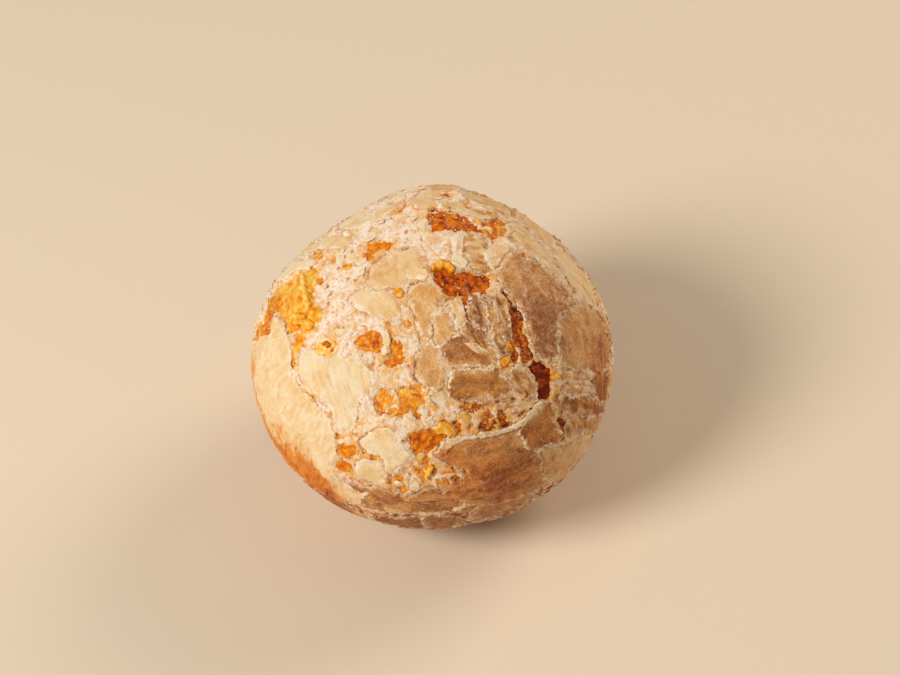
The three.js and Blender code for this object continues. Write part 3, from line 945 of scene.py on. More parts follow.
def crumb_relief(ways, plate_depth, pocket_depth, crumbly):
    """Height of the crumb over the baked form: wide swells, round lumps of two sizes with creases
    between them, and a few pits, all quieter under the plates, banked up along the plates'
    edges, and dropped inside the pockets, but for lumps that are left in the crumbly ones. Also
    how far each place is in a hollow, from 0 to 1, where the crumb is painted tan: partly the
    toasted crumb under the chalk, partly painted shade."""
    places = ways * HALF_WIDTH
    bent = places + 0.35 * wander(places, 1.6, 5)
    lumps = 0.55 - nearest_speck(bent, LUMP_SIZE, 1)
    grains = 0.5 - nearest_speck(bent, GRAIN_SIZE, 2)
    pits = smoothstep(rough(places, PIT_SIZE, 8), 0.42, 0.7)
    fine = LUMP_HEIGHT * lumps + GRAIN_HEIGHT * grains - PIT_DEPTH * pits
    fine = fine + GRAIN_HEIGHT * rough(places, 0.9, 14)
    bare = 1 - smoothstep(plate_depth, -0.1, 0.6)
    torn = pocket_depth + 0.25 * rough(places, 1.0, 15) + 0.2 * grains
    left = crumbly * 1.5 - 0.75 + 0.9 * rough(bent, LEFT_SIZE, 16) + 0.3 * grains
    open_share = smoothstep(torn, 0.1, 0.6) * (1 - smoothstep(left, -0.1, 0.35) * (crumbly > 0))
    height = SWELL_HEIGHT * rough(places, SWELL_SIZE, SWELL_KIND) + fine * (0.3 + 0.7 * bare)
    bank = BANK_HEIGHT * np.exp(-(((plate_depth + 0.1) / BANK_HALF) ** 2))
    height = height + bank - PLATE_DROP * (1 - bare) - POCKET_DROP * open_share
    return height, smoothstep(-fine, -0.12, 0.3)


def new_piece(name, points, faces, material, slot, crisp=False, **attributes):
    """A mesh object from points in millimetres and faces of three and four corners, with a
    number or a vector at each point for every attribute, riding on the one body. A crisp one
    has sharp rims: its faces of four corners are walls and are shaded flat."""
    mesh = bpy.data.meshes.new(name)
    mesh.vertices.add(len(points))
    mesh.vertices.foreach_set("co", (points * MM).astype(np.float32).ravel())
    sizes = np.concatenate([np.full(len(part), part.shape[1]) for part in faces])
    corners = np.concatenate([part.ravel() for part in faces])
    mesh.loops.add(len(corners))
    mesh.loops.foreach_set("vertex_index", corners.astype(np.int32))
    mesh.polygons.add(len(sizes))
    mesh.polygons.foreach_set("loop_start", (np.cumsum(sizes) - sizes).astype(np.int32))
    mesh.polygons.foreach_set("use_smooth", (sizes == 3) | (not crisp))
    for key, values in attributes.items():
        kind, field = ("FLOAT", "value") if values.ndim == 1 else ("FLOAT_VECTOR", "vector")
        layer = mesh.attributes.new(key, kind, "POINT")
        layer.data.foreach_set(field, values.astype(np.float32).ravel())
    mesh.update(calc_edges=True)
    mesh.validate()
    mesh.materials.append(material)
    piece = bpy.data.objects.new(name, mesh)
    scene.collection.objects.link(piece)
    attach(piece, "root")
    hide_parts("cheese_ball")


def new_group(name, inputs, outputs):
    """A shader node group with named sockets, and its two ends."""
    group = bpy.data.node_groups.new(name, "ShaderNodeTree")
    kinds = {"value": "NodeSocketFloat", "colour": "NodeSocketColor", "vector": "NodeSocketVector"}
    for key, (kind, start) in inputs.items():
        socket = group.interface.new_socket(key, in_out="INPUT", socket_type=kinds[kind])
        if start is not None:
            socket.default_value = start
    for key, kind in outputs.items():
        group.interface.new_socket(key, in_out="OUTPUT", socket_type=kinds[kind])
    return group, group.nodes.new("NodeGroupInput"), group.nodes.new("NodeGroupOutput")


def stored(tree, name):
    """The number that a mesh has stored at its places under a name."""
    return put(tree, "Attribute", attribute_name=name).outputs["Fac"]


def colour_ramp(tree, value, stops):
    """A ramp from value to colour, through stops of (value, colour)."""
    ramp = put(tree, "ValToRGB", {"Fac": value})
    elements = ramp.color_ramp.elements
    while len(elements) < len(stops):
        elements.new(0.5)
    for element, (place, colour) in zip(elements, stops):
        element.position = place
        element.color = colour
    return ramp.outputs["Color"]


COLOUR_A, COLOUR_B, COLOUR_OUT = 6, 7, 2  # the mixing node's sockets that are for colours


def blend_colours(tree, share, low, high, kind="MIX"):
    """Mixes two colours by a share from 0 to 1."""
    inputs = {"Factor": share, COLOUR_A: low, COLOUR_B: high}
    return put(tree, "Mix", inputs, data_type="RGBA", blend_type=kind).outputs[COLOUR_OUT]


def spread(tree, value, low, high, to_low=0.0, to_high=1.0):
    """Stretches low..high to to_low..to_high, with an S between."""
    inputs = {"Value": value, "From Min": low, "From Max": high, "To Min": to_low, "To Max": to_high}
    return put(tree, "MapRange", inputs, interpolation_type="SMOOTHSTEP").outputs["Result"]


def combine(tree, operation, first, second=0.0):
    """One step of arithmetic on two numbers, or on the first alone."""
    return put(tree, "Math", {0: first, 1: second}, operation=operation).outputs["Value"]


def plus(tree, first, second):
    """The sum of two numbers."""
    return combine(tree, "ADD", first, second)


def times(tree, first, second):
    """The product of two numbers."""
    return combine(tree, "MULTIPLY", first, second)


def noise(tree, place, size, detail=2.0, roughness=0.5):
    """Noise with lumps of that many millimetres."""
    inputs = {"Vector": place, "Scale": 1 / (size * MM), "Detail": detail, "Roughness": roughness}
    return put(tree, "TexNoise", inputs).outputs["Fac"]


def mottle(tree, place, grain, low, high, to_low=0.0, to_high=1.0):
    """Noise of a grain, which is its size, detail and roughness, spread between two numbers."""
    return spread(tree, noise(tree, place, *grain), low, high, to_low, to_high)


# Dry crumb and skin both have a fine flour-like grain: a mask of pale specks and a height.
flour, ends, out = new_group(
    "flour grain",
    {"Place": ("vector", None), "Size": ("value", 0.5)},
    {"Specks": "value", "Height": "value"},
)
place = ends.outputs["Place"]
scale = combine(flour, "DIVIDE", 1 / MM, ends.outputs["Size"])
coarse = put(flour, "TexNoise", {"Vector": place, "Scale": scale, "Detail": 4.0, "Roughness": 0.65})
grit = put(flour, "TexVoronoi", {"Vector": place, "Scale": times(flour, scale, 2.3)}, feature="F1")
sunk = times(flour, grit.outputs["Distance"], 0.35)
height = combine(flour, "SUBTRACT", coarse.outputs["Fac"], sunk)
flour.links.new(spread(flour, coarse.outputs["Fac"], 0.35, 0.7), out.inputs["Specks"])
flour.links.new(height, out.inputs["Height"])

# Everything that the oven has browned goes through the same colours, from chalk to dark toast.
TOAST = [
    (0.0, linear(248, 231, 196)),
    (0.2, linear(244, 213, 160)),
    (0.4, linear(239, 194, 132)),
    (0.6, linear(222, 160, 84)),
    (0.8, linear(198, 128, 50)),
    (1.0, linear(154, 82, 12)),
]
toast, ends, out = new_group("toasting", {"Brown": ("value", 0.3)}, {"Colour": "colour"})
toast.links.new(colour_ramp(toast, ends.outputs["Brown"], TOAST), out.inputs["Colour"])

CHALK = linear(253, 240, 228)
PIT = linear(236, 188, 134)
# the tan of the hollows: partly toasted crumb under the chalk, partly painted shade
HOLLOW_TOAST_AND_SHADE = linear(244, 198, 138)
DEEP_HOLLOW_TOAST_AND_SHADE = linear(230, 160, 90)
CHEESY = linear(243, 184, 92)
FLOURY = linear(245, 220, 182)
# painted shade for the narrow crack beside a plate
CRACK_SHADE = linear(170, 100, 48)


def crumb_finish(name, glow):
    """Chalky crumb: white where it stands up, tan in its hollows, partly as the toasted crumb under
    the chalk and partly as painted shade, toasted where the oven or a plate beside it is brown,
    yellow by the cheese, and with painted shade in the crack beside a plate. glow is how much
    light goes in."""
    material, tree = new_material(name)
    place = put(tree, "TexCoord").outputs["Object"]
    beside, browned = stored(tree, "beside"), stored(tree, "browned")
    hollow, cheesy = stored(tree, "hollow"), stored(tree, "cheesy")
    grain = put(tree, "Group", {"Place": place, "Size": 0.6}, node_tree=flour)

    # chalk over the toasted crumb, in patches
    patchy = noise(tree, place, 3.0, 3.0)
    brown = plus(tree, spread(tree, patchy, 0.35, 0.7, -0.05, 0.35), browned)
    toasted = put(tree, "Group", {"Brown": brown}, node_tree=toast).outputs["Colour"]
    chalk = combine(tree, "SUBTRACT", spread(tree, patchy, 0.35, 0.65, 1.1, 0.4), browned)
    smears = mottle(tree, place, (1.2, 5.0, 0.7), 0.48, 0.62, 0, 0.75)
    chalk = combine(tree, "MAXIMUM", spread(tree, chalk, 0.1, 1.0), smears)
    colour = blend_colours(tree, chalk, toasted, CHALK)

    # pits are darker, and so are hollows, partly as the toasted crumb under the chalk and partly as
    # painted shade
    low = plus(tree, hollow, mottle(tree, place, (0.5, 3.0, 0.6), 0.3, 0.7, -0.4, 0.35))
    pits = mottle(tree, place, (0.7, 5.0, 0.75), 0.38, 0.46, 0.8, 0.0)
    for share, shade in (
        (pits, PIT),
        (spread(tree, low, 0.2, 0.6, 0, 0.5), HOLLOW_TOAST_AND_SHADE),
        (spread(tree, low, 0.6, 1.2, 0, 0.85), DEEP_HOLLOW_TOAST_AND_SHADE),
    ):
        colour = blend_colours(tree, share, colour, shade, "MULTIPLY")

    # yellow by the cheese, floury by brown plates, and painted dark shade in the crack beside them
    rich = times(tree, cheesy, mottle(tree, place, (1.0, 3.0), 0.4, 0.6, 0.0, 0.9))
    bloom = times(tree, spread(tree, beside, -0.7, -0.1), spread(tree, browned, 0.2, 0.6, 0.0, 0.6))
    # painted shade in the crack just outside a plate's edge
    crack_shade = mottle(tree, place, (2.0, 3.0), 0.5, 0.62, 0, 0.85)
    crack_shade = times(tree, spread(tree, beside, -0.35, -0.05), crack_shade)
    crack_shade = times(tree, crack_shade, spread(tree, browned, 0.1, 0.6, 0.4, 1.0))
    for share, shade in ((rich, CHEESY), (bloom, FLOURY), (crack_shade, CRACK_SHADE)):
        colour = blend_colours(tree, share, colour, shade)

    height = grain.outputs["Height"]
    bump = put(tree, "Bump", {"Height": height, "Distance": 0.3 * MM, "Strength": 0.8})
    baked = put(tree, "BsdfPrincipled", {
        "Base Color": colour,
        "Roughness": 0.92,
        "Specular IOR Level": 0.2,
        "Subsurface Weight": glow,
        "Subsurface Radius": (1.0, 0.95, 0.9),
        "Subsurface Scale": 0.3 * MM,
        "Normal": bump.outputs["Normal"],
    })
    finish_material(tree, baked)
    return material


crumb_material = crumb_finish("chalky crumb", 0.4)
loose_material = crumb_finish("loose crumb", 0.0)

ways, squares = cube_net(BODY_CELLS)
plate_depth, _ = deepest(plates, ways)
pocket_depth, pocket = deepest(pockets, ways)
left_crumbly = np.array([each.get("crumbly", 0) for each in pockets])
relief, hollow = crumb_relief(ways, plate_depth, pocket_depth, left_crumbly[pocket])
new_piece(
    "crumb_body",
    skin_places(ways, relief),
    [squares],
    crumb_material,
    "crumb",
    beside=plate_depth,
    hollow=hollow,
    cheesy=smoothstep(pocket_depth, -1.8, 0.2),
    browned=toasted_here(ways),
)

# ---------------------------------------------------------------------------------------------
# The toasted cheese. Curds of cheese in the dough melt, bubble and brown in the gaps of the
# skin. Each pool is a lens that fills its pocket, wrinkled on top and sunk under the crumb.
POOL_SUNK = 0.25  # how far the middle of most pools lies under the crumb
POOL_EDGE = -0.9  # how deep its edge is buried
POOL_BOTTOM = -1.6
POOL_RIM = 0.18  # how broad the rim is that turns down
FOLD_SIZE, FOLD_HEIGHT = 2.0, 0.3
BLISTER_SIZE = 1.3
POOL_SWELL_SIZE, POOL_SWELL_HEIGHT = 3.0, 0.16
FLOWING_FOLDS, FLOWING_SWELL = -0.2, 0.5  # what flowing adds to the heights of both
FOLD_LIGHT_AND_SHADE = 0.22  # how much paler what stands up and darker what lies low are painted, as painted light and shade
POOL_NET = 0.27  # millimetres between the places of its net
RIM_ROWS = (0.12, 0.3)  # millimetres from the rim to each of the two rows of places inside it
RIM_CLEAR = 0.48  # and to the even net
NET_ROWS = 0.87  # how far apart the even net's rows are, over the spacing of its places


def net_inside(edge, spacing):
    """Flat places that fill a closed edge, and the threes that join them: the edge, two rows just
    inside it, and an even net of rows, each shifted half a step against the last. The threes
    are the ones whose round through the corners holds no other place."""
    places = [edge]
    for inset in RIM_ROWS:
        row = edge - edge_normals(edge) * inset
        places.append(row[depth_inside(edge, row) > 0.85 * inset])
    low, high = edge.min(0), edge.max(0)
    columns = np.arange(low[0], high[0], spacing)
    x, y = np.meshgrid(columns, np.arange(low[1], high[1], NET_ROWS * spacing))
    x[1::2] += spacing / 2
    net = np.stack([x.ravel(), y.ravel()], axis=1)
    places.append(net[depth_inside(edge, net) > RIM_CLEAR])
    loop = [list(range(len(edge)))]
    filled = delaunay_2d_cdt(np.concatenate(places).tolist(), [], loop, 1, 1e-5)
    places = np.array([tuple(place) for place in filled[0]])
    used, faces = np.unique(np.array(filled[2]), return_inverse=True)
    return places[used], faces.reshape(-1, 3)


def open_sides(faces):
    """The sides of threes that no other three shares, as pairs of places."""
    sides = np.concatenate([faces[:, [0, 1]], faces[:, [1, 2]], faces[:, [2, 0]]])
    most = faces.max() + 1
    there = sides @ [most, 1]
    back = sides @ [1, most]
    return sides[~np.isin(there, back)]


def joined(shells):
    """One mesh from many: points and attributes end to end, and faces counted on from the last."""
    starts = np.cumsum([0] + [len(shell["points"]) for shell in shells[:-1]])
    keys = [key for key in shells[0] if key != "faces"]
    whole = {key: np.concatenate([shell[key] for shell in shells]) for key in keys}
    faces = [
        np.concatenate([shell["faces"][kind] + start for shell, start in zip(shells, starts)])
        for kind in range(len(shells[0]["faces"]))
    ]
    return whole.pop("points"), faces, whole


def with_third(flat, third):
    """Flat places with the same third number for all."""
    return np.column_stack([flat, np.full(len(flat), third)])


PLATE_SHIFT = 5.3  # millimetres by which each plate's noise is shifted against the last one's
POOL_SHIFT = 3.7  # the same for pools of cheese


def shell_over(each, spacing, height_at, **facts):
    """A closed shell on a patch: an even net of places, the same net again for the underside, and
    a wall of fours round the rim. height_at gives the heights of both from each place on the ball,
    from how deep it lies inside and from its flat place. A fact is a number, or is given so too."""
    flat, faces = net_inside(each["edge"], spacing)
    count = len(flat)
    depth = np.maximum(depth_inside(each["edge"], flat), 0)
    ways = ways_over(each["axes"], flat)
    places = ways * HALF_WIDTH
    heights = np.concatenate(height_at(places, depth, flat))
    points = skin_places(np.concatenate([ways, ways]), heights)
    for key, fact in facts.items():
        facts[key] = np.tile(fact(places, depth, flat) if callable(fact) else np.full(count, fact), 2)
    # low is 0 on a shell's top and 1 on its underside, for painted shade under a plate and on the wall of
    # its rim
    facts["low"] = np.repeat([0.0, 1.0], count)
    facts["grain"] = np.tile(with_third(flat, PLATE_SHIFT * each["wave"]), (2, 1))
    start, end = open_sides(faces).T
    walls = np.stack([end, start, start + count, end + count], axis=1)
    return dict(points=points, faces=(walls, np.concatenate([faces, faces[:, ::-1] + count])), **facts)


def pool_shell(each):
    """A pool of cheese: folds and blisters round its own level, drawn out along its streak, and
    turned down at its rim to run in under the crumb; flat underneath. A dome bulges from its rim
    as a quarter circle does. What stands up is painted paler and what lies low is painted darker,
    as light and shade, and the rim of a dome is painted darker as shade."""
    shift = POOL_SHIFT * each["wave"]
    level = -min(each.get("sunk", POOL_SUNK), 0.3 * each["reach"])
    dome, flowing = each.get("dome", 0), each.get("flowing", 0)

    def folds_at(places, flat):
        drawn = with_third(flat / [each.get("stretch", 1), 1], shift)
        bent = drawn + 0.5 * wander(places, 1.5, 31)
        folds = 1 - 2.2 * np.abs(rough(bent, FOLD_SIZE, 11))
        blisters = smoothstep(0.62 - nearest_speck(bent, BLISTER_SIZE, 13), 0, 0.5)
        return 0.5 * folds + 0.6 * blisters - 0.4 + 0.4 * rough(bent, 0.8, 12)

    def height_at(places, depth, flat):
        inwards = 1 - depth / depth.max()
        height = level + dome * np.sqrt(1 - inwards**2)
        height = height + (FOLD_HEIGHT + FLOWING_FOLDS * flowing) * folds_at(places, flat)
        swell = rough(with_third(flat / [2, 1], 0), POOL_SWELL_SIZE, 34)
        height = height + (POOL_SWELL_HEIGHT + FLOWING_SWELL * flowing) * swell
        down = 1 - smoothstep(depth, 0.0, POOL_RIM)
        return height + (POOL_EDGE - height) * down, np.full(len(depth), POOL_BOTTOM)

    def bake_at(places, depth, flat):
        folds = FOLD_LIGHT_AND_SHADE * folds_at(places, flat)
        # painted shade round the rim of a dome
        rim = (dome > 0) * (1 - smoothstep(depth, 0, 0.35))
        return 0.95 * each["bake"] - folds + 0.3 * rim + 0.14 * rough(places + shift, 2.2, 35)

    return shell_over(each, POOL_NET, height_at, bake=bake_at, crumbly=each.get("crumbly", 0.0))


CHEESE = [
    (0.0, linear(253, 216, 128)),
    (0.15, linear(250, 192, 72)),
    (0.32, linear(242, 164, 36)),
    (0.5, linear(226, 130, 12)),
    (0.68, linear(202, 98, 8)),
    (0.85, linear(166, 68, 4)),
    (1.0, linear(122, 28, 2)),
]
CHEESE_DUST = linear(250, 214, 160)
cheese_material, tree = new_material("toasted cheese")
place = put(tree, "TexCoord").outputs["Object"]
bake = stored(tree, "bake")
grain = put(tree, "Group", {"Place": place, "Size": 0.6}, node_tree=flour)
burnt = plus(tree, bake, mottle(tree, place, (1.0, 5.0, 0.7), 0.3, 0.7, -0.2, 0.2))
dusty = plus(tree, mottle(tree, place, (2.0, 3.0), 0.45, 0.7, -0.3, 0.3), stored(tree, "crumbly"))
dust = spread(tree, grain.outputs["Specks"], 0.5, 0.85, 0, 0.6)
dust = times(tree, dust, spread(tree, dusty, 0.0, 0.9))
colour = blend_colours(tree, dust, colour_ramp(tree, burnt, CHEESE), CHEESE_DUST)
height = grain.outputs["Height"]
bump = put(tree, "Bump", {"Height": height, "Distance": 0.2 * MM, "Strength": 0.6})
melted = put(tree, "BsdfPrincipled", {
    "Base Color": colour,
    "Roughness": spread(tree, grain.outputs["Specks"], 0.4, 0.9, 0.3, 0.7),
    "Specular IOR Level": 0.12,
    "Coat Weight": spread(tree, bake, 0.15, 0.5, 0.3, 0.13),
    "Coat Roughness": 0.08,
    "Subsurface Weight": 0.25,
    "Subsurface Radius": (1.0, 0.6, 0.25),
    "Subsurface Scale": 1.0 * MM,
    "Normal": bump.outputs["Normal"],
})
finish_material(tree, melted)

points, faces, attributes = joined([pool_shell(each) for each in pockets])
new_piece("toasted_cheese", points, faces, cheese_material, "toasted_cheese", **attributes)

# ---------------------------------------------------------------------------------------------
# The plates of skin. The skin is a dry papery crust a third of a millimetre thick. Each plate
# is a closed shell that grips the crumb in its middle, cups a little, and lifts at its rim.
SKIN_THICK = 0.3
SKIN_RIM_THICK = 0.13
SKIN_LEVEL = 0.05  # how far every plate stands over the baked form
SKIN_RISE = 0.3  # how much its own rise adds to that
SKIN_LEAN = 0.15  # how much one side stands over its middle
SKIN_CUP = 0.1  # how far the middle lies under the rim
SKIN_RIM = 1.8  # how broad the rim is
SKIN_LIFT = 0.3  # how far a free rim may lift off
SKIN_LIP = 0.11  # how far it curls up
SKIN_LIP_PLACE, SKIN_LIP_HALF = 0.4, 0.3  # where inside the edge, and how broadly
SKIN_EDGE, SKIN_EDGE_DROP = 0.16, 0.12  # the rounding of the edge: how broad, and how deep
SKIN_ROOT = -1.0  # how deep a plate's middle reaches into the crumb
SKIN_NET = 0.32  # millimetres between the places of its net
SKIN_NET_BEHIND = 0.5  # the same on the sides away from the camera
WRINKLE_LENGTH = 3.5  # how much longer a wrinkle is than wide
WRINKLE_HEIGHT = 0.14


def settled_at(each, places):
    """Where a plate's rim runs in under the crumb, 1, and where it lies free, 0."""
    lean = 1.2 * (each.get("settle", 0.5) - 0.5)
    return smoothstep(rough(places + PLATE_SHIFT * each["wave"], 3.5, 26) + lean, -0.25, 0.25)


def wrinkles_at(each, flat):
    """Wrinkles along a plate's grain, from about -1 in the valleys to 0.5 on the sharp ridges."""
    drawn = with_third(flat / [WRINKLE_LENGTH, 1], PLATE_SHIFT * each["wave"])
    bent = drawn + 0.4 * wander(drawn, 1.5, 27)
    return 0.5 - 2.4 * np.abs(rough(bent, 1.3, 23))


def plate_top(each, places, depth, flat):
    """Height of a plate: its level, a lean to one side, the crumb's wide swells, a shallow cup, a
    curl just inside the rim that drops over the edge, and wrinkles along its grain."""
    shift = PLATE_SHIFT * each["wave"]
    rim = 1 - smoothstep(depth, 0, SKIN_RIM)
    settled = settled_at(each, places)
    uneven = rough(places + shift, 2.2, 25)
    lean = flat @ [math.cos(2.4 * each["wave"]), math.sin(2.4 * each["wave"])] / each["reach"]
    height = SKIN_LEVEL + SKIN_RISE * each["rise"] + SKIN_LEAN * lean
    height = height + 0.2 * rough(places, SWELL_SIZE, SWELL_KIND)
    height = height + 0.1 * rough(places + shift, 2.4, 21)
    lip = SKIN_LIP * np.exp(-(((depth - SKIN_LIP_PLACE) / SKIN_LIP_HALF) ** 2))
    lip = lip * each.get("lip", 0.4 + each["brown"]) * np.clip(0.5 + 1.3 * uneven, 0, 1.5)
    height = height + lip * (1 - settled)
    height = height - SKIN_CUP * smoothstep(depth, 0.6, 2.6)
    sinks = settled * (1 - smoothstep(depth, 0, 1.3))
    height = height - (0.25 + SKIN_RISE * each["rise"]) * sinks
    height = height - SKIN_EDGE_DROP * (1 - smoothstep(depth, 0, SKIN_EDGE))
    lifts = (1 - settled) * rim * np.maximum(rough(places + shift, 4.5, 22) - 0.15, 0)
    height = height + SKIN_LIFT * lifts
    height = height + WRINKLE_HEIGHT * each["wrinkle"] * wrinkles_at(each, flat)
    return height + 0.05 * rough(places, 1.2, 24)


def plate_shell(each, spacing=SKIN_NET):
    """A plate's top, and an underside that is thin at the rim and rooted inside."""

    def height_at(places, depth, flat):
        height = plate_top(each, places, depth, flat)
        inner = smoothstep(depth, 0.2, SKIN_RIM)
        root = SKIN_RIM_THICK + (SKIN_THICK - SKIN_RIM_THICK - SKIN_ROOT) * inner
        return height, height - root

    return shell_over(
        each,
        spacing,
        height_at,
        brown=lambda places, depth, flat: each["brown"] + bells(unit(places), BROWNER),
        golden=lambda places, depth, flat: bells(unit(places), GOLDEN),
        rim=lambda places, depth, flat: depth,
        settled=lambda places, depth, flat: settled_at(each, places),
        ridge=lambda places, depth, flat: each["wrinkle"] * wrinkles_at(each, flat),
        wrinkle=each["wrinkle"],
        dusty=each.get("dusty", 0.3),
    )


def thin_lines(tree, value, width, most):
    """Lines along which a noise passes its middle value: most on them, and 0 a width off it."""
    off = combine(tree, "ABSOLUTE", combine(tree, "SUBTRACT", value, 0.5))
    return spread(tree, off, 0.0, width, most, 0.0)


FILM_ON_CREAM = linear(250, 228, 196)
FILM_ON_BROWN = linear(228, 186, 146)
GILT = linear(250, 188, 84)
VEIN = linear(240, 208, 160)
PALE_RIM = linear(250, 231, 199)
POWDER = linear(252, 236, 217)
DUST = linear(250, 226, 194)
# painted shade under a plate and on the wall of its rim
SHADE_UNDERNEATH = linear(226, 160, 96)

skin_material, tree = new_material("dry skin")
place = put(tree, "TexCoord").outputs["Object"]
brown, golden, rim = stored(tree, "brown"), stored(tree, "golden"), stored(tree, "rim")
wrinkle, dusty, low = stored(tree, "wrinkle"), stored(tree, "dusty"), stored(tree, "low")
grain = put(tree, "Group", {"Place": place, "Size": 0.5}, node_tree=flour)
mottled = noise(tree, place, 2.2, 4.0, 0.6)
wide = noise(tree, place, 5.0, 2.0)
along = put(tree, "Attribute", attribute_name="grain").outputs["Vector"]
along = put(tree, "VectorMath", {0: along, 1: (0.42, 1.0, 1.0)}, operation="MULTIPLY").outputs["Vector"]
lines = {"Vector": along, "Scale": 0.75, "Detail": 5.0, "Roughness": 0.65, "Distortion": 0.8}
lines = put(tree, "TexNoise", lines).outputs["Fac"]
broad = {"Vector": along, "Scale": 0.3, "Detail": 2.0, "Distortion": 0.6}
broad = put(tree, "TexNoise", broad).outputs["Fac"]

# How brown it is: mottled, more so where it is gilded, streaked along the grain, darker in the
# folds and paler on their ridges as painted shade and light, and paler towards the rim.
gilded = plus(tree, golden, spread(tree, wide, 0.3, 0.7, -0.1, 0.1))
gilded = plus(tree, gilded, spread(tree, lines, 0.35, 0.65, -0.25, 0.25))
gilded = spread(tree, gilded, 0.25, 0.95)
streaks = times(tree, spread(tree, lines, 0.35, 0.65, 0.16, -0.16), wrinkle)
broad = times(tree, spread(tree, broad, 0.35, 0.65, 0.13, -0.13), spread(tree, brown, 0.3, 0.7, 0.2, 1.0))
tone = brown
for more in (
    spread(tree, mottled, 0.3, 0.7, -0.12, 0.12),
    spread(tree, wide, 0.3, 0.7, -0.08, 0.08),
    times(tree, gilded, spread(tree, brown, 0.2, 0.7, 0.34, 0.0)),
    times(tree, streaks, spread(tree, brown, 0.1, 0.6, 0.35, 0.8)),
    times(tree, broad, spread(tree, wrinkle, 0.25, 0.5, 0.25, 1.0)),
    # painted shade in the folds and painted light on their ridges
    times(tree, stored(tree, "ridge"), spread(tree, brown, 0.1, 0.6, -0.08, -0.22)),
):
    tone = plus(tree, tone, more)
uneven_rim = plus(tree, rim, spread(tree, wide, 0.35, 0.65, -0.5, 1.4))
tone = times(tree, tone, spread(tree, uneven_rim, 0.0, 1.5, 0.66, 1.0))
colour = put(tree, "Group", {"Brown": tone}, node_tree=toast).outputs["Colour"]

# A veil of flour: thin smears and patches where it is dusty, and wisps along the wrinkles.
smears = thin_lines(tree, noise(tree, place, 3.4, 5.0, 0.62), 0.07, 0.7)
smears = times(tree, smears, spread(tree, lines, 0.4, 0.6))
smears = plus(tree, smears, mottle(tree, place, (1.2, 5.0, 0.7), 0.35, 0.7, 0.0, 0.75))
veil = times(tree, times(tree, dusty, smears), spread(tree, brown, 0.85, 1.15, 1.0, 0.45))
wisps = times(tree, thin_lines(tree, lines, 0.03, 0.75), spread(tree, mottled, 0.42, 0.58))
veil = combine(tree, "MAXIMUM", veil, times(tree, wisps, spread(tree, wrinkle, 0.1, 0.9)))
film = blend_colours(tree, spread(tree, brown, 0.2, 0.7), FILM_ON_CREAM, FILM_ON_BROWN)
colour = blend_colours(tree, veil, colour, film)

# Melted cheese in it gilds it, and low on the left the gilding is also painted warm reflected light and
# shade; brown skin is speckled all over.
rich = times(tree, gilded, spread(tree, brown, 0.3, 0.8, 1.0, 0.6))
colour = blend_colours(tree, rich, colour, GILT, "MULTIPLY")
fine = noise(tree, place, 0.33, 3.0, 0.85)
speckle = put(tree, "CombineColor", {
    "Red": spread(tree, fine, 0.3, 0.7, 0.66, 1.22),
    "Green": spread(tree, fine, 0.3, 0.7, 0.54, 1.34),
    "Blue": spread(tree, fine, 0.3, 0.7, 0.42, 1.45),
}).outputs["Color"]
speckled = spread(tree, brown, 0.25, 0.8, 0.15, 0.95)
colour = blend_colours(tree, speckled, colour, speckle, "MULTIPLY")

# Over that, pale veins, a pale torn rim, powder towards the rim and dust on the grain.
veins = thin_lines(tree, noise(tree, place, 4.0, 6.0, 0.6), 0.012, 1.0)
veins = times(tree, veins, spread(tree, mottled, 0.5, 0.6))
veins = times(tree, veins, spread(tree, brown, 0.4, 0.8, 0.0, 0.6))
edge = plus(tree, rim, mottle(tree, place, (0.7, 5.0, 0.7), 0.35, 0.65, -0.4, 0.45))
edge = plus(tree, edge, mottle(tree, place, (2.6, 2.0), 0.3, 0.7, -0.2, 0.35))
pale = times(tree, spread(tree, edge, 0.12, 0.42, 0.95, 0.0), spread(tree, golden, 0.3, 0.8, 1.0, 0.1))
torn = plus(tree, rim, mottle(tree, place, (2.2, 6.0, 0.7), 0.3, 0.7, -1.3, 1.3))
torn = combine(tree, "SUBTRACT", torn, times(tree, stored(tree, "settled"), 0.3))
powder = times(tree, spread(tree, torn, -0.3, 0.5, 0.85, 0.0), spread(tree, brown, 0.25, 0.75, 1.0, 0.35))
powder = times(tree, powder, spread(tree, golden, 0.2, 0.6, 1.0, 0.0))
dust = spread(tree, grain.outputs["Specks"], 0.78, 0.98, 0.0, 0.25)
for share, shade in ((veins, VEIN), (pale, PALE_RIM), (powder, POWDER), (dust, DUST)):
    colour = blend_colours(tree, share, colour, shade)
# Painted shade on a plate's underside and on the wall of its rim.
colour = blend_colours(tree, spread(tree, low, 0.1, 0.7), colour, SHADE_UNDERNEATH, "MULTIPLY")

height = plus(tree, grain.outputs["Height"], times(tree, lines, times(tree, wrinkle, 1.6)))
bump = put(tree, "Bump", {"Height": height, "Distance": 0.26 * MM, "Strength": 0.9})
crust = put(tree, "BsdfPrincipled", {
    "Base Color": colour,
    "Roughness": spread(tree, mottled, 0.3, 0.7, 0.5, 0.68),
    "Specular IOR Level": 0.3,
    "Subsurface Weight": 0.2,
    "Subsurface Radius": (1.0, 0.8, 0.6),
    "Subsurface Scale": 0.2 * MM,
    "Normal": bump.outputs["Normal"],
})
finish_material(tree, crust)

PLATE_GROUPS = [
    ("crust_plates", plates[:shown_plates:2], SKIN_NET),
    ("crust_plates_between", plates[1:shown_plates:2], SKIN_NET),
    ("crust_plates_behind", plates[shown_plates:], SKIN_NET_BEHIND),
]
for name, members, spacing in PLATE_GROUPS:
    points, faces, attributes = joined([plate_shell(each, spacing) for each in members])
    new_piece(name, points, faces, skin_material, "crust", crisp=True, **attributes)

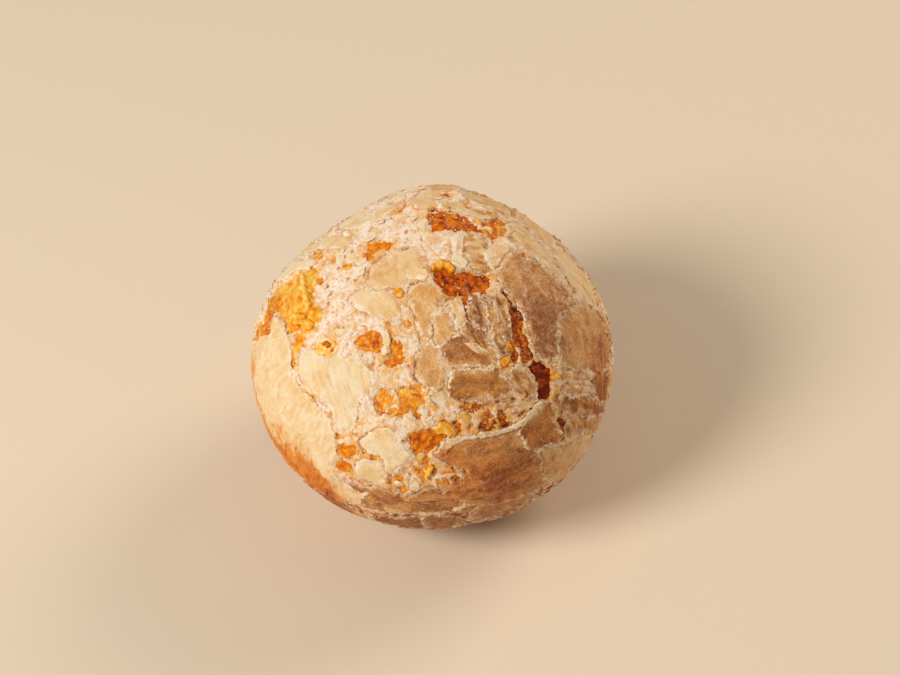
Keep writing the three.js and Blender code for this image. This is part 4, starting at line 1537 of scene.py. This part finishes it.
# ---------------------------------------------------------------------------------------------
# The loose flakes. Where the skin has crazed and come away, bits of it one to three millimetres
# across are left lying all over the bare crumb.
FLAKES = 260
FLAKE_TRIES = 8  # places tried for each of them
FLAKE_HALF = (0.5, 1.5)  # millimetres from its middle to its corners
FLAKE_CORNERS = 7
FLAKE_STEP = 0.26  # millimetres between places along its edge
CLEAR_OF_PLATES = -0.5  # how far outside the plates its middle lies
CLEAR_OF_POCKETS = -0.3


def strewn(count, towards, least):
    """Random ways that lean towards a direction by at least so much."""
    ways = unit(random.normal(size=(count, 3)))
    return ways[ways @ towards > least]


def flake(number, middle):
    """A flake: seven corners at uneven distances round its middle, longer than wide."""
    bearing = np.linspace(0, 2 * math.pi, FLAKE_CORNERS, endpoint=False)
    bearing = bearing + random.uniform(-0.3, 0.3, FLAKE_CORNERS)
    half = random.uniform(*FLAKE_HALF)
    distance = half * random.uniform(0.55, 1.25, FLAKE_CORNERS)
    corners = np.stack([1.3 * distance * np.cos(bearing), 0.8 * distance * np.sin(bearing)], axis=1)
    along = unit(np.cross(middle, random.normal(size=3)))
    facts = dict(
        brown=random.uniform(0, 0.35) + 0.6 * toasted_here(middle[None])[0],
        rise=random.uniform(0.2, 0.8),
        wrinkle=random.uniform(0.2, 0.9),
        wave=number,
    )
    return patch(middle, along, corners, FLAKE_STEP, ragged=0.8, **facts)


ways = strewn(FLAKES * FLAKE_TRIES, towards_camera, -1)
plate_depth, _ = deepest(plates, ways)
pocket_depth, _ = deepest(pockets, ways)
bare = (plate_depth < CLEAR_OF_PLATES) & (pocket_depth < CLEAR_OF_POCKETS)
flakes = [flake(number, middle) for number, middle in enumerate(ways[bare][:FLAKES])]
points, faces, attributes = joined([plate_shell(each) for each in flakes])
new_piece("crust_flakes", points, faces, skin_material, "crust", crisp=True, **attributes)

# ---------------------------------------------------------------------------------------------
# The chips and crumbs. Thin chips of dry skin and rough grains of crumb cling all over the bare
# crumb and along every torn edge, and a few have fallen on the plates and into the cheese.
CHIP_CORNERS = 7
CHIP_THICK = (0.04, 0.09)  # millimetres


def surface_heights(ways):
    """How high the finished surface stands at each way: the crumb, or the plate or the cheese
    that covers it. Also how deep it lies in them, and how much loose crumb lies on the cheese."""
    plate_depth, number = deepest(plates, ways)
    pocket_depth, pocket = deepest(pockets, ways)
    height, _ = crumb_relief(ways, plate_depth, pocket_depth, left_crumbly[pocket])
    for index in np.unique(number[plate_depth > 0]):
        on = (number == index) & (plate_depth > 0)
        flat = laid_flat(plates[index]["axes"], ways[on])
        top = plate_top(plates[index], ways[on] * HALF_WIDTH, plate_depth[on], flat)
        height[on] = np.maximum(height[on], top)
    sunk = np.array([each.get("sunk", POOL_SUNK) for each in pockets])
    height = np.where(pocket_depth > 0.3, np.maximum(height, -sunk[pocket]), height)
    loose = np.where(pocket_depth > 0.2, 0.3 * left_crumbly[pocket], 0)
    return height, plate_depth, pocket_depth, loose


def ring_faces(rings, around):
    """Faces of a closed net with a pole, rings of places and a pole again: a fan of threes at
    each pole and fours between the rings."""
    step = np.arange(around)
    after = (step + 1) % around
    start = 1 + around * np.arange(rings - 1)[:, None]
    fours = np.stack([start + step, start + around + step, start + around + after, start + after], axis=-1)
    last = 1 + around * (rings - 1)
    top = np.stack([np.zeros_like(step), 1 + step, 1 + after], axis=1)
    bottom = np.stack([np.full_like(step, last + around), last + after, last + step], axis=1)
    return fours.reshape(-1, 4), np.concatenate([top, bottom])


def chips_at(ways, heights, halves):
    """Thin chips: seven corners at uneven distances round a middle, drawn out one way and cupped
    by the square of the distance, over an underside just inside them. Each is tilted. Also how
    much painted shade each place gets for lying underneath."""
    count = len(ways)
    bearing = np.arange(CHIP_CORNERS) * 2 * math.pi / CHIP_CORNERS
    bearing = bearing + random.uniform(-0.35, 0.35, (count, CHIP_CORNERS))
    distance = random.uniform(0.5, 1.3, (count, CHIP_CORNERS))
    drawn_out = random.uniform(1, 1.5, (count, 1))
    x = distance * np.cos(bearing) * drawn_out
    y = distance * np.sin(bearing) / drawn_out
    cup = random.uniform(-0.2, 0.2, (count, 1)) * distance**2
    thick = random.uniform(*CHIP_THICK, (count, 1)) / halves[:, None]
    top = np.stack([x, y, cup], axis=2)
    under = np.stack([0.85 * x, 0.85 * y, cup - thick], axis=2)
    middle = np.zeros((count, 1, 3))
    below = np.stack([0 * thick, 0 * thick, -thick], axis=2)
    shape = np.concatenate([middle, top, under, below], axis=1) * halves[:, None, None]
    tilt = np.abs(random.normal(0, 0.12, (count, 1)))
    along = unit(np.cross(ways, random.normal(size=(count, 3))))
    across = np.cross(ways, along)
    out = ways * np.cos(tilt) + along * np.sin(tilt)
    along = along * np.cos(tilt) - ways * np.sin(tilt)
    axes = np.stack([along, across, out], axis=1)
    points = over_floor(skin_places(ways, heights)[:, None] + shape @ axes).reshape(-1, 3)
    # the underside's corners get painted shade
    low = np.repeat([0, 0.9], CHIP_CORNERS + 1)
    fours, threes = ring_faces(2, CHIP_CORNERS)
    start = (2 + 2 * CHIP_CORNERS) * np.arange(count)[:, None, None]
    return points, [(fours + start).reshape(-1, 4), (threes + start).reshape(-1, 3)], np.tile(low, count)


def twenty_sided():
    """The corners and faces of a regular solid with twenty sides: of all threes of its corners,
    those that are one edge apart from each other and run round to the left seen from outside."""
    g = (1 + math.sqrt(5)) / 2
    corners = [(-1, g, 0), (1, g, 0), (-1, -g, 0), (1, -g, 0), (0, -1, g), (0, 1, g)]
    corners += [(0, -1, -g), (0, 1, -g), (g, 0, -1), (g, 0, 1), (-g, 0, -1), (-g, 0, 1)]
    corners = unit(np.array(corners))
    first, second, third = np.meshgrid(*[np.arange(12)] * 3, indexing="ij")
    trios = np.stack([first, second, third], axis=-1).reshape(-1, 3)
    trios = trios[(trios[:, 0] < trios[:, 1]) & (trios[:, 0] < trios[:, 2])]
    sides = corners[trios]
    even = np.ptp(np.linalg.norm(sides - np.roll(sides, 1, axis=1), axis=2), axis=1) < 1e-6
    near = np.linalg.norm(sides[:, 0] - sides[:, 1], axis=1) < 1.1
    facing = np.cross(sides[:, 1] - sides[:, 0], sides[:, 2] - sides[:, 0])
    outward = np.sum(facing * sides[:, 0], axis=1) > 0
    return corners, trios[even & near & outward]


def grains_at(ways, heights, halves):
    """Rough grains: each corner of a twenty-sided solid at its own distance, squeezed by its own
    three factors, turned at random, and sunk a little into the surface. Also how much painted
    shade each place gets for lying on the grain's lower side."""
    corners, sides = twenty_sided()
    count = len(ways)
    turn, _ = np.linalg.qr(random.normal(size=(count, 3, 3)))
    shape = corners * random.uniform(0.7, 1.25, (count, 12, 1))
    shape = shape * random.uniform(0.6, 1.3, (count, 1, 3)) @ turn * halves[:, None, None]
    middles = skin_places(ways, heights - 0.15 * halves)
    turned_over = np.linalg.det(turn) < 0
    faces = sides + 12 * np.arange(count)[:, None, None]
    faces[turned_over] = faces[turned_over][..., ::-1]
    points = over_floor(middles[:, None] + shape).reshape(-1, 3)
    outward = np.sum(shape * ways[:, None], axis=2) / halves[:, None]
    # the lower side of each grain gets painted shade
    return points, [faces.reshape(-1, 3)], smoothstep(-outward, -0.7, 0.5).ravel()


KINDS = [  # name, shape, half size, side of the ball, how many, and how many places are tried
    ("chips_fine", chips_at, (0.12, 0.28), 1, 900, 60_000),
    ("chips_coarse", chips_at, (0.25, 0.55), 1, 150, 14_000),
    ("chips_behind", chips_at, (0.2, 0.7), -1, 1500, 30_000),
    ("crumbs_fine", grains_at, (0.06, 0.16), 1, 9000, 180_000),
    ("crumbs_coarse", grains_at, (0.14, 0.26), 1, 1500, 30_000),
    ("crumbs_behind", grains_at, (0.12, 0.3), -1, 5000, 40_000),
]
SIDE_REACH = {1: 0.05, -1: -0.1}  # how far towards its side a place has to lie
BARE_SHARE = 0.2  # of the places tried, how many hold a crumb on bare pale crumb
COVERED_SHARE = 0.004  # on skin and on cheese
TORN_SHARE = 0.7  # along the torn edge of a plate
MELT_SHARE = 0.4  # along the edge of a pocket
for name, shape, half, side, most, tried in KINDS:
    ways = strewn(tried, side * towards_camera, SIDE_REACH[side])
    height, plate_depth, pocket_depth, loose = surface_heights(ways)
    browned = toasted_here(ways)
    pale = 1 - np.clip(1.3 * browned, 0, 0.85)
    torn_edge = np.exp(-(((plate_depth + 0.02) / 0.2) ** 2))
    melt_edge = np.exp(-(((pocket_depth - 0.1) / 0.4) ** 2)) * (plate_depth < 0)
    on_bare = (plate_depth < 0) & (pocket_depth < 0.2)
    share = np.where(on_bare, BARE_SHARE * pale, COVERED_SHARE) + loose
    share = share + TORN_SHARE * torn_edge * (0.6 + 0.6 * pale) + MELT_SHARE * melt_edge
    clumped = smoothstep(rough(ways * HALF_WIDTH, 3, 41), -0.5, 0.5)
    keep = np.nonzero(random.uniform(size=len(ways)) < share * (0.35 + 0.65 * clumped))[0][:most]
    halves = random.uniform(*half, len(keep)) * np.where(plate_depth[keep] > 0.4, 0.6, 1)
    points, faces, low = shape(ways[keep], height[keep], halves)
    each = len(points) // len(keep)
    browned = browned[keep] * (1 - 0.8 * torn_edge[keep]) + random.uniform(-0.15, 0.12, len(keep))
    new_piece(
        name,
        points,
        faces,
        loose_material,
        "crumb",
        crisp=True,
        browned=np.repeat(browned, each),
        cheesy=np.repeat(smoothstep(pocket_depth[keep], -1.6, 0.4), each),
        beside=np.full(len(points), NOWHERE),
        # painted shade underneath each, and a random tone of its own
        hollow=low + np.repeat(random.uniform(-0.3, 0.5, len(keep)), each),
    )
